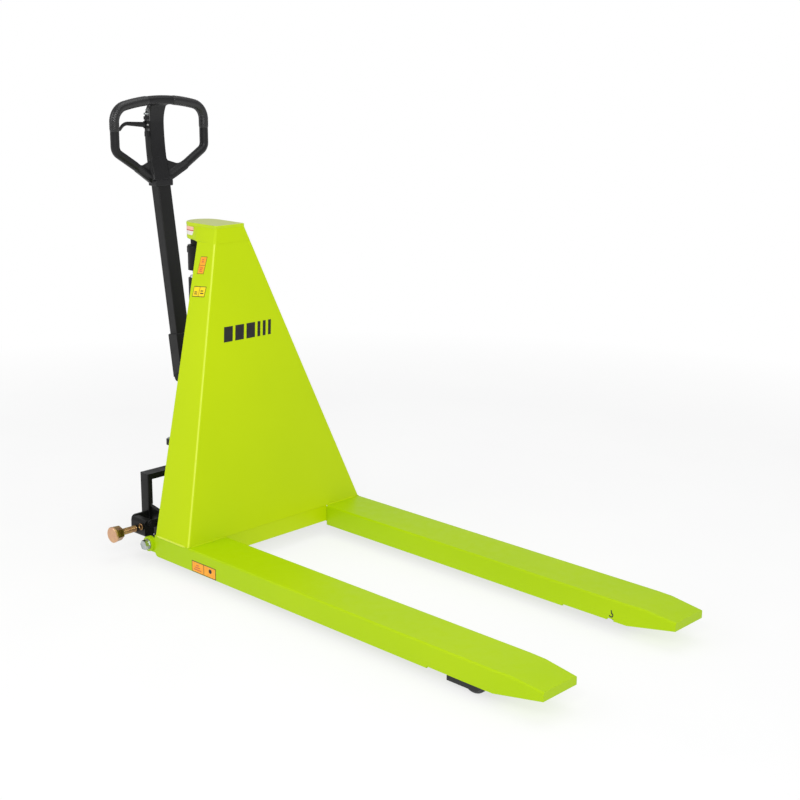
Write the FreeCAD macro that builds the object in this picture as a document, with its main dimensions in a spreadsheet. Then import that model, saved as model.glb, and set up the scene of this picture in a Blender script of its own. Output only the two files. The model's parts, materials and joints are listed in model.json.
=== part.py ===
"""Manual high-lift scissor pallet jack, in millimetres.

Frame: +X runs along the forks to their tips, +Y to the operator's left, +Z up.
The origin is on the floor, below the middle of the whole truck.
"Heel" is the front face of the tower where it meets the forks; most places along X are
given from it. Right-hand pieces (-Y) are built, and the left-hand ones are their mirror images.
"""
import FreeCAD, Part
import math
import os
import re
import Sketcher

Vector = FreeCAD.Vector
Rotation = FreeCAD.Rotation

DIMENSIONS = {
    # overall
    "fork_length": 1150,        # heel to fork tips
    "rear_reach": 512,          # heel to the rear of the tiller head
    "half_width": 310,          # centre plane to the outer wall of a fork
    "fork_width": 128,
    "fork_top": 85,             # lowered height of the load face
    "sheet": 5,                 # folded plate of the forks and tower
    "wall_bottom": 27,          # lower edge of the fork walls
    "wall_step": 4.3,           # the walls are this much shallower near the wheels
    "step_place": 833,
    "nose_place": 1021,
    "nose_bend": 1065,
    "nose_tip_top": 75,
    "nose_tip_bottom": 54,
    "nose_side_taper": 7,
    "rear_wall": 142,           # outer wall runs this far behind the heel
    # tower
    "lean": 180,                # the front panel leans back this much by head_top
    "head_top": 877,
    "head_half_width": 47.6,
    "tower_top": 832,
    "flange_rear_low": 137,     # rear edge of a flange behind the heel, at fork_top
    "flange_rear_high": 243,    # and at tower_top
    "head_bend": 286,           # centre of the head's round rear end, behind the heel
    "head_round": 50,           # its radius
    "plate_edge": 8,            # top plate thickness
    # scissor linkage, all from the heel
    "link_rear": 165,           # rear pivots behind the heel
    "link_front": 950,          # wheel axle and roller ahead of the heel
    "link_high": 56,            # height of the upper pivot of each pair
    "link_low": 38,             # height of the lower pivot of each pair
    "arm_plate": 12,
    "outer_arm_inner": 290,     # inner face of the outer arm
    "inner_arm_inner": 196,     # inner face of the inner arm
    "load_wheel_radius": 38,
    "load_wheel_inner": 244,
    "load_wheel_width": 44,
    "roller_radius": 23.6,
    "pin_radius": 8,
    "running": 0.05,            # radial clearance of a pin or shaft in its hole
    # base and steering
    "steer_place": 322,         # steering axis behind the heel
    "steer_wheel_radius": 90,
    "steer_wheel_inner": 16,
    "steer_wheel_width": 46,
    "hoop_place": 268.5,        # middle of the hoop bar behind the heel
    "hoop_half": 246,           # outer face of a hoop post
    "hoop_top": 214,
    "bar_depth": 35,
    "bar_width": 14,
    # hydraulics
    "cylinder_radius": 27,
    "stage_radius": 22,
    "rod_radius": 15,
    "cylinder_top": 717,
    "slide_gap": 0.4,
    # tiller
    "tiller_place": 390,        # tiller pivot behind the heel
    "tiller_height": 425,
    "tiller_lean": 8.98,        # degrees back from upright
    "tube_rear": 20,            # the tube stands further to the rear of the pivot line
    "tube_front": 13,
    "tube_width": 44,
    "loop_place": 473,
    "loop_half": 152.5,
    "loop_top": 1193.5,
    "grip_radius": 12.7,
    "collar_height": 963,
    # stabilisers
    "stabiliser_place": 240,
    "stabiliser_pivot_y": 285,
    "stabiliser_pivot_z": 98,
    "foot_reach": 377,
    "foot_height": 77,
}

DOC = FreeCAD.newDocument("pallet_jack")
SHEET = DOC.addObject("Spreadsheet::Sheet", "Dim")
PIECES = []
HEEL = "(rear_reach - fork_length) / 2"
LINK_REAR = HEEL + " - link_rear"
LINK_FRONT = HEEL + " + link_front"
STEER = HEEL + " - steer_place"
TURN = {
    "X": Rotation(Vector(0, 1, 0), 90),
    "Y": Rotation(Vector(1, 0, 0), -90),
    "Z": Rotation(),
}


def fill_sheet():
    for row, (alias, value) in enumerate(DIMENSIONS.items(), start=1):
        SHEET.set(f"A{row}", alias)
        SHEET.set(f"B{row}", str(value))
        SHEET.setAlias(f"B{row}", alias)
    DOC.recompute()


def formula(text):
    """A sheet expression from plain text that names the sheet's aliases."""
    return re.sub(r"[a-z][a-z_]+(?!\()\b", lambda word: "Dim." + word.group(0), str(text))


def place(item, x, y, z, turn=None):
    if turn is not None:
        item.Placement = FreeCAD.Placement(Vector(), turn)
    for axis, text in zip("xyz", (x, y, z)):
        item.setExpression(".Placement.Base." + axis, formula(text))
    return item


def block(name, x, y, z):
    """A box from three (low, high) pairs of expressions."""
    item = DOC.addObject("Part::Box", name)
    for side, (low, high) in zip(("Length", "Width", "Height"), (x, y, z)):
        item.setExpression(side, formula(f"({high}) - ({low})"))
    return place(item, x[0], y[0], z[0])


def rod(name, axis, radius, low, high, place_a, place_b):
    """A cylinder along an axis from low to high; its other two coordinates follow in X, Y, Z order."""
    item = DOC.addObject("Part::Cylinder", name)
    item.setExpression("Radius", formula(radius))
    item.setExpression("Height", formula(f"({high}) - ({low})"))
    spots = {"X": (low, place_a, place_b), "Y": (place_a, low, place_b), "Z": (place_a, place_b, low)}
    return place(item, *spots[axis], TURN[axis])


def taper(name, up, low_face, high_face, low, high, x=0, y=0, z=0):
    """A block whose section changes evenly along up; a face is two (min, max) pairs in a row."""
    item = DOC.addObject("Part::Wedge", name)
    values = dict(zip(("Xmin", "Xmax", "Zmin", "Zmax"), low_face))
    values.update(zip(("X2min", "X2max", "Z2min", "Z2max"), high_face))
    values.update(Ymin=low, Ymax=high)
    for side, text in values.items():
        item.setExpression(side, formula(text))
    turns = {"Z": Rotation(Vector(1, 0, 0), 90), "X": Rotation(Vector(0, 0, 1), -90)}
    return place(item, x, y, z, turns[up])


def fuse(name, *items):
    result = DOC.addObject("Part::MultiFuse", name)
    result.Shapes = list(items)
    result.Refine = True
    return result


def cut(name, base, *tools):
    for number, tool in enumerate(tools):
        last = number == len(tools) - 1
        result = DOC.addObject("Part::Cut", name if last else f"{name}_cut{number}")
        result.Base, result.Tool = base, tool
        result.Refine = True
        base = result
    return base


def soften(name, base, radius, wanted):
    """Round the edges for which wanted(edge) is true."""
    DOC.recompute()
    edges = [(i, radius, radius) for i, edge in enumerate(base.Shape.Edges, start=1) if wanted(edge)]
    result = DOC.addObject("Part::Fillet", name)
    result.Base = base
    result.Edges = edges
    return result


def mirror(name, source, label):
    result = DOC.addObject("Part::Mirroring", name)
    result.Source = source
    result.Normal = Vector(0, 1, 0)
    return keep(result, label)


def keep(item, label):
    """Mark an object as one of the truck's pieces; its label names its file."""
    item.Label = label
    PIECES.append(item)
    return item


def outline(name, corners, thickness, middle_y=0):
    """A plate parallel to the XZ plane from its corners, given as (x, z) expressions."""
    body = DOC.addObject("PartDesign::Body", name)
    plane = next(f for f in body.Origin.OriginFeatures if f.Role == "XZ_Plane")
    sketch = body.newObject("Sketcher::SketchObject", name + "_sketch")
    sketch.AttachmentSupport = [(plane, "")]
    sketch.MapMode = "FlatFace"
    count = len(corners)
    spots = [Vector(400 * math.cos(turn), 400 * math.sin(turn), 0)
             for turn in (math.tau * i / count for i in range(count))]
    for i in range(count):
        sketch.addGeometry(Part.LineSegment(spots[i], spots[(i + 1) % count]))
    for i in range(count):
        sketch.addConstraint(Sketcher.Constraint("Coincident", i, 2, (i + 1) % count, 1))
    for i, corner in enumerate(corners):
        for kind, text, start in zip(("DistanceX", "DistanceY"), corner, (spots[i].x, spots[i].y)):
            index = sketch.addConstraint(Sketcher.Constraint(kind, -1, 1, i, 1, start))
            sketch.setExpression(f"Constraints[{index}]", formula(text))
    pad = body.newObject("PartDesign::Pad", name + "_pad")
    pad.Profile = sketch
    pad.Midplane = True
    pad.setExpression("Length", formula(thickness))
    return place(body, 0, middle_y, 0)


def along_x(edge):
    ends = [vertex.Point for vertex in edge.Vertexes]
    return len(ends) == 2 and abs((ends[1] - ends[0]).x) > 0.95 * edge.Length


def along_y(edge):
    ends = [vertex.Point for vertex in edge.Vertexes]
    return len(ends) == 2 and abs((ends[1] - ends[0]).y) > 0.95 * edge.Length


def along_z(edge):
    ends = [vertex.Point for vertex in edge.Vertexes]
    return len(ends) == 2 and abs((ends[1] - ends[0]).z) > 0.9 * edge.Length


# ---------------------------------------------------------------- lifting frame

def make_nose():
    """The closed, tapering end of the right-hand fork."""
    middle = "fork_width / 2 - half_width"
    mid_part = "(nose_bend - nose_place) / (fork_length - nose_place)"
    mid_side = f"fork_width / 2 - nose_side_taper * {mid_part}"
    tip_side = "fork_width / 2 - nose_side_taper"
    floor = "wall_bottom + wall_step"
    mid_floor = f"{floor} + (nose_tip_bottom - wall_bottom - wall_step) * {mid_part}"

    def half(name, inset, start, end, start_face, end_face, end_inset=0):
        faces = []
        for side, low, high in (start_face, end_face):
            faces.append((f"-({side}) + {inset}", f"{side} - {inset}",
                          f"{low} + {inset}", f"{high} - {inset}"))
        return taper(name, "X", *faces, start, f"{end} - {end_inset}", x=HEEL, y=middle)

    root = ("fork_width / 2", floor, "fork_top")
    bend = (mid_side, mid_floor, "fork_top")
    tip = (tip_side, "nose_tip_bottom", "nose_tip_top")
    outer = fuse("nose_outer",
                 half("nose_outer_a", 0, "nose_place", "nose_bend", root, bend),
                 half("nose_outer_b", 0, "nose_bend", "fork_length", bend, tip))
    rounded = soften("nose_rounded", outer, 4.9, lambda edge: edge.BoundBox.ZMin > 74 and along_x(edge))
    inner = fuse("nose_inner",
                 half("nose_inner_a", "sheet", "nose_place", "nose_bend", root, bend),
                 half("nose_inner_b", "sheet", "nose_bend", "fork_length", bend, tip, "sheet"))
    return cut("nose", rounded, inner)


def make_forks():
    outer_y = ("-half_width", "fork_width - half_width")
    skin = block("fork_skin", (HEEL, HEEL + " + nose_place"), outer_y, ("wall_bottom", "fork_top"))
    folded = soften("fork_folded", skin, 5, lambda edge: edge.BoundBox.ZMin > 84 and along_x(edge))
    hollow = block("fork_hollow", (HEEL + " - 1", HEEL + " + nose_place + 1"),
                   ("sheet - half_width", "fork_width - half_width - sheet"),
                   ("wall_bottom - 1", "fork_top - sheet"))
    step = block("fork_step", (HEEL + " + step_place", HEEL + " + nose_place + 1"),
                 ("-half_width - 1", "fork_width - half_width + 1"), (0, "wall_bottom + wall_step"))
    notch = block("fork_notch", (HEEL + " + 965", HEEL + " + 984"),
                  ("fork_width - half_width - sheet - 1", "fork_width - half_width + 1"),
                  (0, "wall_bottom + 9"))
    channel = cut("fork_channel", folded, hollow, step, notch)
    wall = block("rear_wall", (f"{HEEL} - rear_wall", HEEL), ("-half_width", "sheet - half_width"),
                 ("wall_bottom", "fork_top"))
    wall = soften("rear_wall_round", wall, 12, lambda edge: edge.BoundBox.ZMax < 28 and along_y(edge)
                  and edge.BoundBox.XMax < -400)
    boss = rod("ear_boss", "Y", 20, "-half_width - 6", "-half_width + 7", LINK_REAR, "link_high")
    web = block("ear_web", (LINK_REAR, f"{HEEL} - rear_wall + 1"), ("-half_width", "sheet - half_width"),
                ("link_high - 20", "link_high + 20"))
    bore = rod("ear_bore", "Y", "pin_radius + running", "-half_width - 9", "-half_width + 9",
               LINK_REAR, "link_high")
    whole = fuse("fork_whole", channel, wall, boss, web, make_nose())
    fork = keep(cut("fork", whole, bore), "fork_right")
    mirror("fork_mirror", fork, "fork_left")


def make_tower():
    reach = "(tower_top - fork_top) / (head_top - fork_top)"
    top_half = f"half_width - (half_width - head_half_width) * {reach}"
    top_front = f"-lean * {reach}"
    panel = taper("tower_panel", "Z", ("-sheet", 0, "-half_width", "half_width"),
                  (f"{top_front} - sheet", top_front, f"-({top_half})", top_half),
                  0, "tower_top - fork_top", x=HEEL, z="fork_top")
    keep(panel, "tower_panel")
    flange = taper("flange", "Z", ("-flange_rear_low", "-sheet", "half_width - sheet - 0.3", "half_width"),
                   ("-flange_rear_high", f"{top_front} - sheet", f"{top_half} - sheet - 0.3", top_half),
                   0, "tower_top - fork_top", x=HEEL, z="fork_top")
    keep(flange, "flange_right")
    mirror("flange_mirror", flange, "flange_left")
    keep(block("heel_plate", (f"{HEEL} - sheet", HEEL),
               ("fork_width - half_width", "half_width - fork_width"), (40, "fork_top")), "heel_plate")
    beam = block("beam_outer", (f"{HEEL} - 54", f"{HEEL} - 14"), (-292, 292), ("fork_top + 0.5", 122))
    beam_hollow = block("beam_hollow", (f"{HEEL} - 50", f"{HEEL} - 18"), (-293, 293),
                        ("fork_top + 4.5", 118))
    keep(cut("tower_beam", beam, beam_hollow), "tower_beam")


def stadium(name, front, low, high, spread=0):
    """A slab over the head: straight sides and a round rear end."""
    radius = f"head_round + {spread}"
    slab = block(name + "_slab", (f"{HEEL} - head_bend", f"{HEEL} + {front}"), (f"-({radius})", radius),
                 (low, high))
    end = rod(name + "_end", "Z", radius, low, high, f"{HEEL} - head_bend", 0)
    return fuse(name, slab, end)


def make_head():
    """The hooked head on the tower, the plate over it and the rod head that bears up against it."""
    seat = "head_top - plate_edge"
    part = "(tower_top - fork_top) / (head_top - fork_top)"
    seat_part = f"({seat} - fork_top) / (head_top - fork_top)"

    def core(name, inset, low, high):
        low_half = f"half_width - (half_width - head_half_width) * {part} - {inset}"
        high_half = f"half_width - (half_width - head_half_width) * {seat_part} - {inset}"
        rear = f"-flange_rear_high + {inset}"
        return taper(name, "Z",
                     (rear, f"-lean * {part} - {inset}", f"-({low_half})", low_half),
                     (rear, f"-lean * {seat_part} - {inset}", f"-({high_half})", high_half),
                     low, high, x=HEEL)

    hook = stadium("hook", "8 - flange_rear_high", "tower_top - 2", seat)
    hook = soften("hook_round", hook, 7, lambda edge: edge.BoundBox.ZMax < 831 and edge.BoundBox.XMin < -600)
    cap = fuse("cap_whole", core("cap_core", 0, "tower_top", seat), hook)
    keep(cut("head_cap", cap, core("cap_hollow", 5, "tower_top - 5", f"{seat} - 6")), "head_cap")
    lid = stadium("lid", "-lean + 1.5", seat, "head_top", 0.6)
    lid = soften("lid_corners", lid, 6, lambda edge: along_z(edge) and edge.BoundBox.XMin > -520)
    keep(soften("lid_edges", lid, 3, lambda edge: edge.BoundBox.ZMin > 876), "top_plate")
    neck = rod("rod_neck", "Z", 18.5, 806, "tower_top - 2", STEER, 0)
    can = rod("rod_can", "Z", "cylinder_radius", 739, 808, STEER, 0)
    rim = rod("rod_rim", "Z", "cylinder_radius + 2", 788, 807, STEER, 0)
    rim = soften("rod_rim_round", rim, 5, lambda edge: edge.BoundBox.ZMin > 800)
    socket = rod("rod_socket", "Z", "rod_radius + running", 738, 790, STEER, 0)
    keep(cut("rod_head", fuse("rod_head_whole", neck, can, rim), socket), "rod_head")
    keep(rod("piston_rod", "Z", "rod_radius", 262, 790, STEER, 0), "piston_rod")


def hexagon(name, radius, low, high, x, z):
    """A hexagonal prism along Y; radius is to its corners."""
    item = DOC.addObject("Part::Prism", name)
    item.Polygon = 6
    item.setExpression("Circumradius", formula(radius))
    item.setExpression("Height", formula(f"({high}) - ({low})"))
    return place(item, x, low, z, TURN["Y"])


def pair(name, item):
    """An object and its mirror image, as one group of separate solids."""
    twin = DOC.addObject("Part::Mirroring", name + "_twin")
    twin.Source = item
    twin.Normal = Vector(0, 1, 0)
    group = DOC.addObject("Part::Compound", name)
    group.Links = [item, twin]
    return group


def make_pivot_bolts():
    washer = rod("bolt_washer", "Y", 14.5, "-half_width - 9", "-half_width - 6.05", LINK_REAR, "link_high")
    head = hexagon("bolt_head", 13.6, "-half_width - 21", "-half_width - 8.9", LINK_REAR, "link_high")
    shank = rod("bolt_shank", "Y", "pin_radius", "-half_width - 9", -272, LINK_REAR, "link_high")
    keep(pair("pivot_bolts", fuse("bolt", washer, head, shank)), "pivot_bolts")
    nut = hexagon("nut_body", 15, -289, -276, LINK_REAR, "link_high")
    hole = rod("nut_hole", "Y", "pin_radius + running", -290, -275, LINK_REAR, "link_high")
    keep(pair("pivot_nuts", cut("nut", nut, hole)), "pivot_nuts")


# ---------------------------------------------------------------- scissor arms

def pin_hole(name, x, z, low, high, radius="pin_radius + running"):
    return rod(name, "Y", radius, low, high, x, z)


def make_outer_arms():
    middle = "-outer_arm_inner - arm_plate / 2"
    low, high = "-outer_arm_inner - arm_plate - 1", "-outer_arm_inner + 1"
    yoke_start = f"{HEEL} + 885"
    bar = outline("outer_bar", [
        (LINK_REAR, "link_high - 20"), (yoke_start, 31), (yoke_start, 14), (f"{HEEL} + 972", 14),
        (f"{HEEL} + 984", 25), (f"{HEEL} + 984", 58), (f"{HEEL} + 974", 68), (yoke_start, 70),
        (LINK_REAR, "link_high + 20")], "arm_plate", middle)
    eye = rod("outer_eye", "Y", 20, "-outer_arm_inner - arm_plate", "-outer_arm_inner", LINK_REAR,
              "link_high")
    cheek = outline("yoke_cheek", [
        (yoke_start, 20), (f"{HEEL} + 966", 20), (f"{HEEL} + 976", 30), (f"{HEEL} + 976", 58),
        (f"{HEEL} + 966", 66), (yoke_start, 66)], "arm_plate", "-load_wheel_inner + 8")
    bridge = block("yoke_bridge", (yoke_start, f"{HEEL} + 903"),
                   ("-outer_arm_inner", "-load_wheel_inner + 14"), (30, 66))
    centre = f"{HEEL} + (link_front - link_rear) / 2"
    holes = [
        pin_hole("outer_hole_rear", LINK_REAR, "link_high", low, high),
        pin_hole("outer_hole_centre", centre, "(link_high + link_low) / 2", low, high),
        pin_hole("outer_hole_front", LINK_FRONT, "link_low", low, "-load_wheel_inner + 16"),
    ]
    arm = keep(cut("outer_arm", fuse("outer_arm_whole", bar, eye, cheek, bridge), *holes), "outer_arm_right")
    mirror("outer_arm_mirror", arm, "outer_arm_left")
    tube = rod("outer_tie_tube", "Y", 9.5, -279, 279, f"{HEEL} - 76", 90)
    lug_x = (f"{HEEL} - 86", f"{HEEL} - 66")
    lug = block("outer_tie_lug", lug_x, (-289.9, -278), (44, 100))
    far_lug = block("outer_tie_far_lug", lug_x, (278, 289.9), (44, 100))
    keep(fuse("outer_arm_tie", tube, lug, far_lug), "outer_arm_tie")
    axle = rod("load_axle", "Y", "pin_radius", -303, "-load_wheel_inner + 14.4", LINK_FRONT, "link_low")
    keep(pair("load_wheel_axles", axle), "load_wheel_axles")


def make_inner_arms():
    middle = "-inner_arm_inner - arm_plate / 2"
    low, high = "-inner_arm_inner - arm_plate - 1", "-inner_arm_inner + 1"
    bar = outline("inner_bar", [
        (f"{LINK_REAR} + 6", "link_low - 16"), (f"{HEEL} - 60", 30), (f"{HEEL} + 936", 38),
        (f"{HEEL} + 936", 73), (f"{HEEL} - 60", 70), (f"{LINK_REAR} + 4", "link_low + 17")],
        "arm_plate", middle)
    side = ("-inner_arm_inner - arm_plate", "-inner_arm_inner")
    rear_eye = rod("inner_eye_rear", "Y", 18, *side, LINK_REAR, "link_low")
    front_eye = rod("inner_eye_front", "Y", 18, *side, LINK_FRONT, "link_high")
    centre = f"{HEEL} + (link_front - link_rear) / 2"
    holes = [
        pin_hole("inner_hole_rear", LINK_REAR, "link_low", low, high, "12 + running"),
        pin_hole("inner_hole_centre", centre, "(link_high + link_low) / 2", low, high),
        pin_hole("inner_hole_front", LINK_FRONT, "link_high", low, high),
    ]
    arm = keep(cut("inner_arm", fuse("inner_arm_whole", bar, rear_eye, front_eye), *holes), "inner_arm_right")
    mirror("inner_arm_mirror", arm, "inner_arm_left")
    tie = rod("inner_tie_outer", "Y", 14, "-inner_arm_inner", "inner_arm_inner", f"{HEEL} - 106", 44)
    keep(tie, "inner_arm_tie")
    shaft = rod("scissor_shaft", "Y", "pin_radius", -303.2, -193, centre, "(link_high + link_low) / 2")
    head = rod("scissor_head", "Y", 13, -195.9, -190, centre, "(link_high + link_low) / 2")
    spacer = rod("scissor_spacer", "Y", 14, -289.6, -208.1, centre, "(link_high + link_low) / 2")
    keep(pair("scissor_pins", fuse("scissor_pin", shaft, head, spacer)), "scissor_pins")
    stub = rod("roller_stub", "Y", 7.5, -228.6, -193, LINK_FRONT, "link_high")
    flat = rod("roller_stub_head", "Y", 12, -195.9, -190.5, LINK_FRONT, "link_high")
    snap = rod("roller_snap", "Y", 9, -229.2, -227.4, LINK_FRONT, "link_high")
    keep(pair("roller_axles", fuse("roller_axle", stub, flat, snap)), "roller_axles")


def ring(name, axis, outer, inner, low, high, place_a, place_b):
    wall = rod(name + "_outer", axis, outer, low, high, place_a, place_b)
    hole = rod(name + "_inner", axis, inner, f"({low}) - 1", f"({high}) + 1", place_a, place_b)
    return cut(name, wall, hole)


def make_small_wheels():
    outer_face = "-load_wheel_inner - load_wheel_width + 0.5"
    wheel = ring("load_wheel", "Y", "load_wheel_radius", "pin_radius + running", outer_face,
                 "-load_wheel_inner - 0.5", LINK_FRONT, "link_low")
    wheel = soften("load_wheel_round", wheel, 2.5, lambda edge: edge.BoundBox.ZLength > 70)
    mirror("load_wheel_mirror", keep(wheel, "load_wheel_right"), "load_wheel_left")
    roller = ring("roller", "Y", "roller_radius", "7.5 + running", -226.9, -208.6, LINK_FRONT, "link_high")
    roller = soften("roller_round", roller, 1.5, lambda edge: edge.BoundBox.ZLength > 45)
    mirror("roller_mirror", keep(roller, "channel_roller_right"), "channel_roller_left")


# ---------------------------------------------------------------- base

def make_base():
    inner_face = -227
    keep(fuse("base_axle",
              rod("base_shaft", "Y", 12, -243, 243, LINK_REAR, "link_low"),
              rod("base_nut_right", "Y", 17, -246, -239.1, LINK_REAR, "link_low"),
              rod("base_nut_left", "Y", 17, 239.1, 246, LINK_REAR, "link_low")), "base_axle")
    plate = outline("side_plate_bar", [
        (f"{HEEL} - hoop_place - bar_depth / 2", 62), (f"{HEEL} - 240", 44),
        (LINK_REAR, "link_low - 20"), (f"{LINK_REAR} + 4", "link_low + 19"), (f"{HEEL} - 196", 112),
        (f"{HEEL} - hoop_place - bar_depth / 2", 128)], 12, -233)
    eye = rod("side_plate_eye", "Y", 20, -239, inner_face, LINK_REAR, "link_low")
    hole = rod("side_plate_hole", "Y", "12 + running", -240, "-226", LINK_REAR, "link_low")
    plate = keep(cut("side_plate", fuse("side_plate_whole", plate, eye), hole), "side_plate_right")
    mirror("side_plate_mirror", plate, "side_plate_left")
    make_hoop()
    keep(ring("thrust_ring", "Z", 54, 42, "hoop_top", "hoop_top + 5.7", STEER, 0), "thrust_ring")


def make_hoop():
    """The flat-bar hoop welded to the side plates, with the steering collar at its middle."""
    rear, front = f"{HEEL} - hoop_place - bar_depth / 2", f"{HEEL} - hoop_place + bar_depth / 2"
    bar_x = (rear, front)
    post = block("hoop_post", bar_x, ("-hoop_half", "bar_width - hoop_half"), (128, "hoop_top"))
    leg = block("hoop_leg", bar_x, ("-hoop_half", -239), (66, 130))
    far_post = block("hoop_far_post", bar_x, ("hoop_half - bar_width", "hoop_half"), (128, "hoop_top"))
    far_leg = block("hoop_far_leg", bar_x, (239, "hoop_half"), (66, 130))
    bar = block("hoop_bar", bar_x, ("-hoop_half", "hoop_half"), ("hoop_top - 16", "hoop_top"))
    collar = block("steer_collar", (f"{STEER} - 56", front), (-58, 58), ("hoop_top - 25", "hoop_top"))
    collar = soften("collar_round", collar, 30, lambda edge: along_z(edge) and edge.BoundBox.XMax < -660)
    whole = fuse("hoop_whole", post, leg, far_post, far_leg, bar, collar)
    soft = soften("hoop_soft", whole, 3, lambda edge: along_z(edge) and abs(edge.BoundBox.Center.y) > 245
                  and edge.BoundBox.ZLength > 100)
    bore = rod("collar_bore", "Z", "40 + running", "hoop_top - 26", "hoop_top + 1", STEER, 0)
    keep(cut("rear_hoop", soft, bore), "rear_hoop")


def make_stabilisers():
    """Swing-down levelling feet; stowed, the screws point sideways."""
    middle = f"{HEEL} - stabiliser_place"
    y, z = "-stabiliser_pivot_y", "stabiliser_pivot_z"
    lugs = []
    for name, start, end, root in (("lug_rear", -24, -16.5, -246), ("lug_front", 44.5, 52, -239)):
        span = (f"{middle} + {start}", f"{middle} + {end}")
        arm = block(name, span, (f"{y}", root), (f"{z} - 11", f"{z} + 11"))
        nose = rod(name + "_nose", "X", 11, *span, y, z)
        hole = rod(name + "_hole", "X", "6 + running", f"{span[0]} - 1", f"{span[1]} + 1", y, z)
        lugs.append(cut(name + "_whole", fuse(name + "_body", arm, nose), hole))
    keep(pair("stabiliser_brackets", fuse("bracket", *lugs)), "stabiliser_brackets")
    pin = rod("stabiliser_shaft", "X", 6, f"{middle} - 23.8", f"{middle} + 55", y, z)
    head = rod("stabiliser_pin_head", "X", 9, f"{middle} + 52.1", f"{middle} + 57", y, z)
    keep(pair("stabiliser_pins", fuse("stabiliser_pin", pin, head)), "stabiliser_pins")
    body = block("foot_block", (f"{middle} - 16", f"{middle} + 44"), (-302, -272),
                 ("foot_height - 16", f"{z} + 9"))
    body = soften("foot_block_corners", body, 9, lambda edge: along_x(edge))
    bore = rod("foot_block_bore", "X", "6 + running", f"{middle} - 17", f"{middle} + 45", y, z)
    thread = rod("foot_block_thread", "Y", "9 + running", -303, -280, middle, "foot_height")
    lock = rod("foot_lock", "Y", 10, -306, -292, f"{middle} + 32", "foot_height + 14")
    whole = fuse("foot_block_whole", body, lock)
    block_piece = keep(cut("stabiliser_block", whole, bore, thread), "stabiliser_block_right")
    mirror("stabiliser_block_mirror", block_piece, "stabiliser_block_left")
    stem = rod("foot_stem", "Y", 9, -360, -281, middle, "foot_height")
    nut = hexagon("foot_nut", 19, -361, -348, middle, "foot_height")
    pad = rod("foot_pad", "Y", 21.5, "-foot_reach", -360, middle, "foot_height")
    pad = soften("foot_pad_round", pad, 1.5, lambda edge: edge.BoundBox.ZLength > 40)
    screw = keep(fuse("stabiliser_screw", stem, nut, pad), "stabiliser_screw_right")
    mirror("stabiliser_screw_mirror", screw, "stabiliser_screw_left")


# ---------------------------------------------------------------- steering and hydraulics

def make_steering():
    journal = rod("journal", "Z", 40, 184, 221, STEER, 0)
    deck = block("deck", (f"{STEER} - 118", f"{STEER} + 94"), (-46, 46), ("hoop_top + 6", 236))
    deck = soften("deck_round", deck, 14, along_z)
    keep(fuse("steer_column", journal, deck), "steer_column")
    stalk = block("stalk", (f"{STEER} - 28", f"{STEER} + 28"), (-12, 12), (90, 184))
    foot = rod("stalk_foot", "Y", 28, -12, 12, STEER, "steer_wheel_radius")
    hole = rod("stalk_hole", "Y", "10 + running", -13, 13, STEER, "steer_wheel_radius")
    keep(cut("axle_bracket", fuse("stalk_whole", stalk, foot), hole), "axle_bracket")
    shaft = rod("steer_shaft", "Y", 10, -68, 68, STEER, "steer_wheel_radius")
    caps = [rod(f"steer_cap{side}", "Y", 16, *span, STEER, "steer_wheel_radius")
            for side, span in enumerate(((-70, -63), (63, 70)))]
    keep(fuse("steer_axle", shaft, *caps), "steer_axle")
    inner, outer = "-steer_wheel_inner", "-steer_wheel_inner - steer_wheel_width"
    tyre = ring("steer_tyre", "Y", "steer_wheel_radius", "steer_wheel_radius - 16", outer, inner, STEER,
                "steer_wheel_radius")
    tyre = soften("steer_tyre_round", tyre, 5, lambda edge: edge.BoundBox.ZLength > 170)
    mirror("steer_tyre_mirror", keep(tyre, "steer_tyre_right"), "steer_tyre_left")
    rim = ring("steer_rim", "Y", "steer_wheel_radius - 16", "10 + running", outer, inner, STEER,
               "steer_wheel_radius")
    dish = ring("steer_dish", "Y", 62, 24, f"{outer} - 1", f"{outer} + 9", STEER, "steer_wheel_radius")
    hub = keep(cut("steer_hub", rim, dish), "steer_hub_right")
    mirror("steer_hub_mirror", hub, "steer_hub_left")


def make_hydraulics():
    bore = "stage_radius + slide_gap"
    tube = ring("cylinder_wall", "Z", "cylinder_radius", bore, 236, "cylinder_top - 12", STEER, 0)
    floor = rod("cylinder_floor", "Z", "cylinder_radius", 236, 246, STEER, 0)
    keep(fuse("cylinder_tube", tube, floor), "cylinder_tube")
    keep(ring("cylinder_gland", "Z", "cylinder_radius", bore, "cylinder_top - 12", "cylinder_top", STEER, 0),
         "cylinder_gland")
    stage = ring("stage_wall", "Z", "stage_radius", "rod_radius + slide_gap", 250, "cylinder_top + 6",
                 STEER, 0)
    floor = rod("stage_floor", "Z", "stage_radius", 250, 258, STEER, 0)
    keep(fuse("middle_stage", stage, floor), "middle_stage")
    make_pump()


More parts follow.
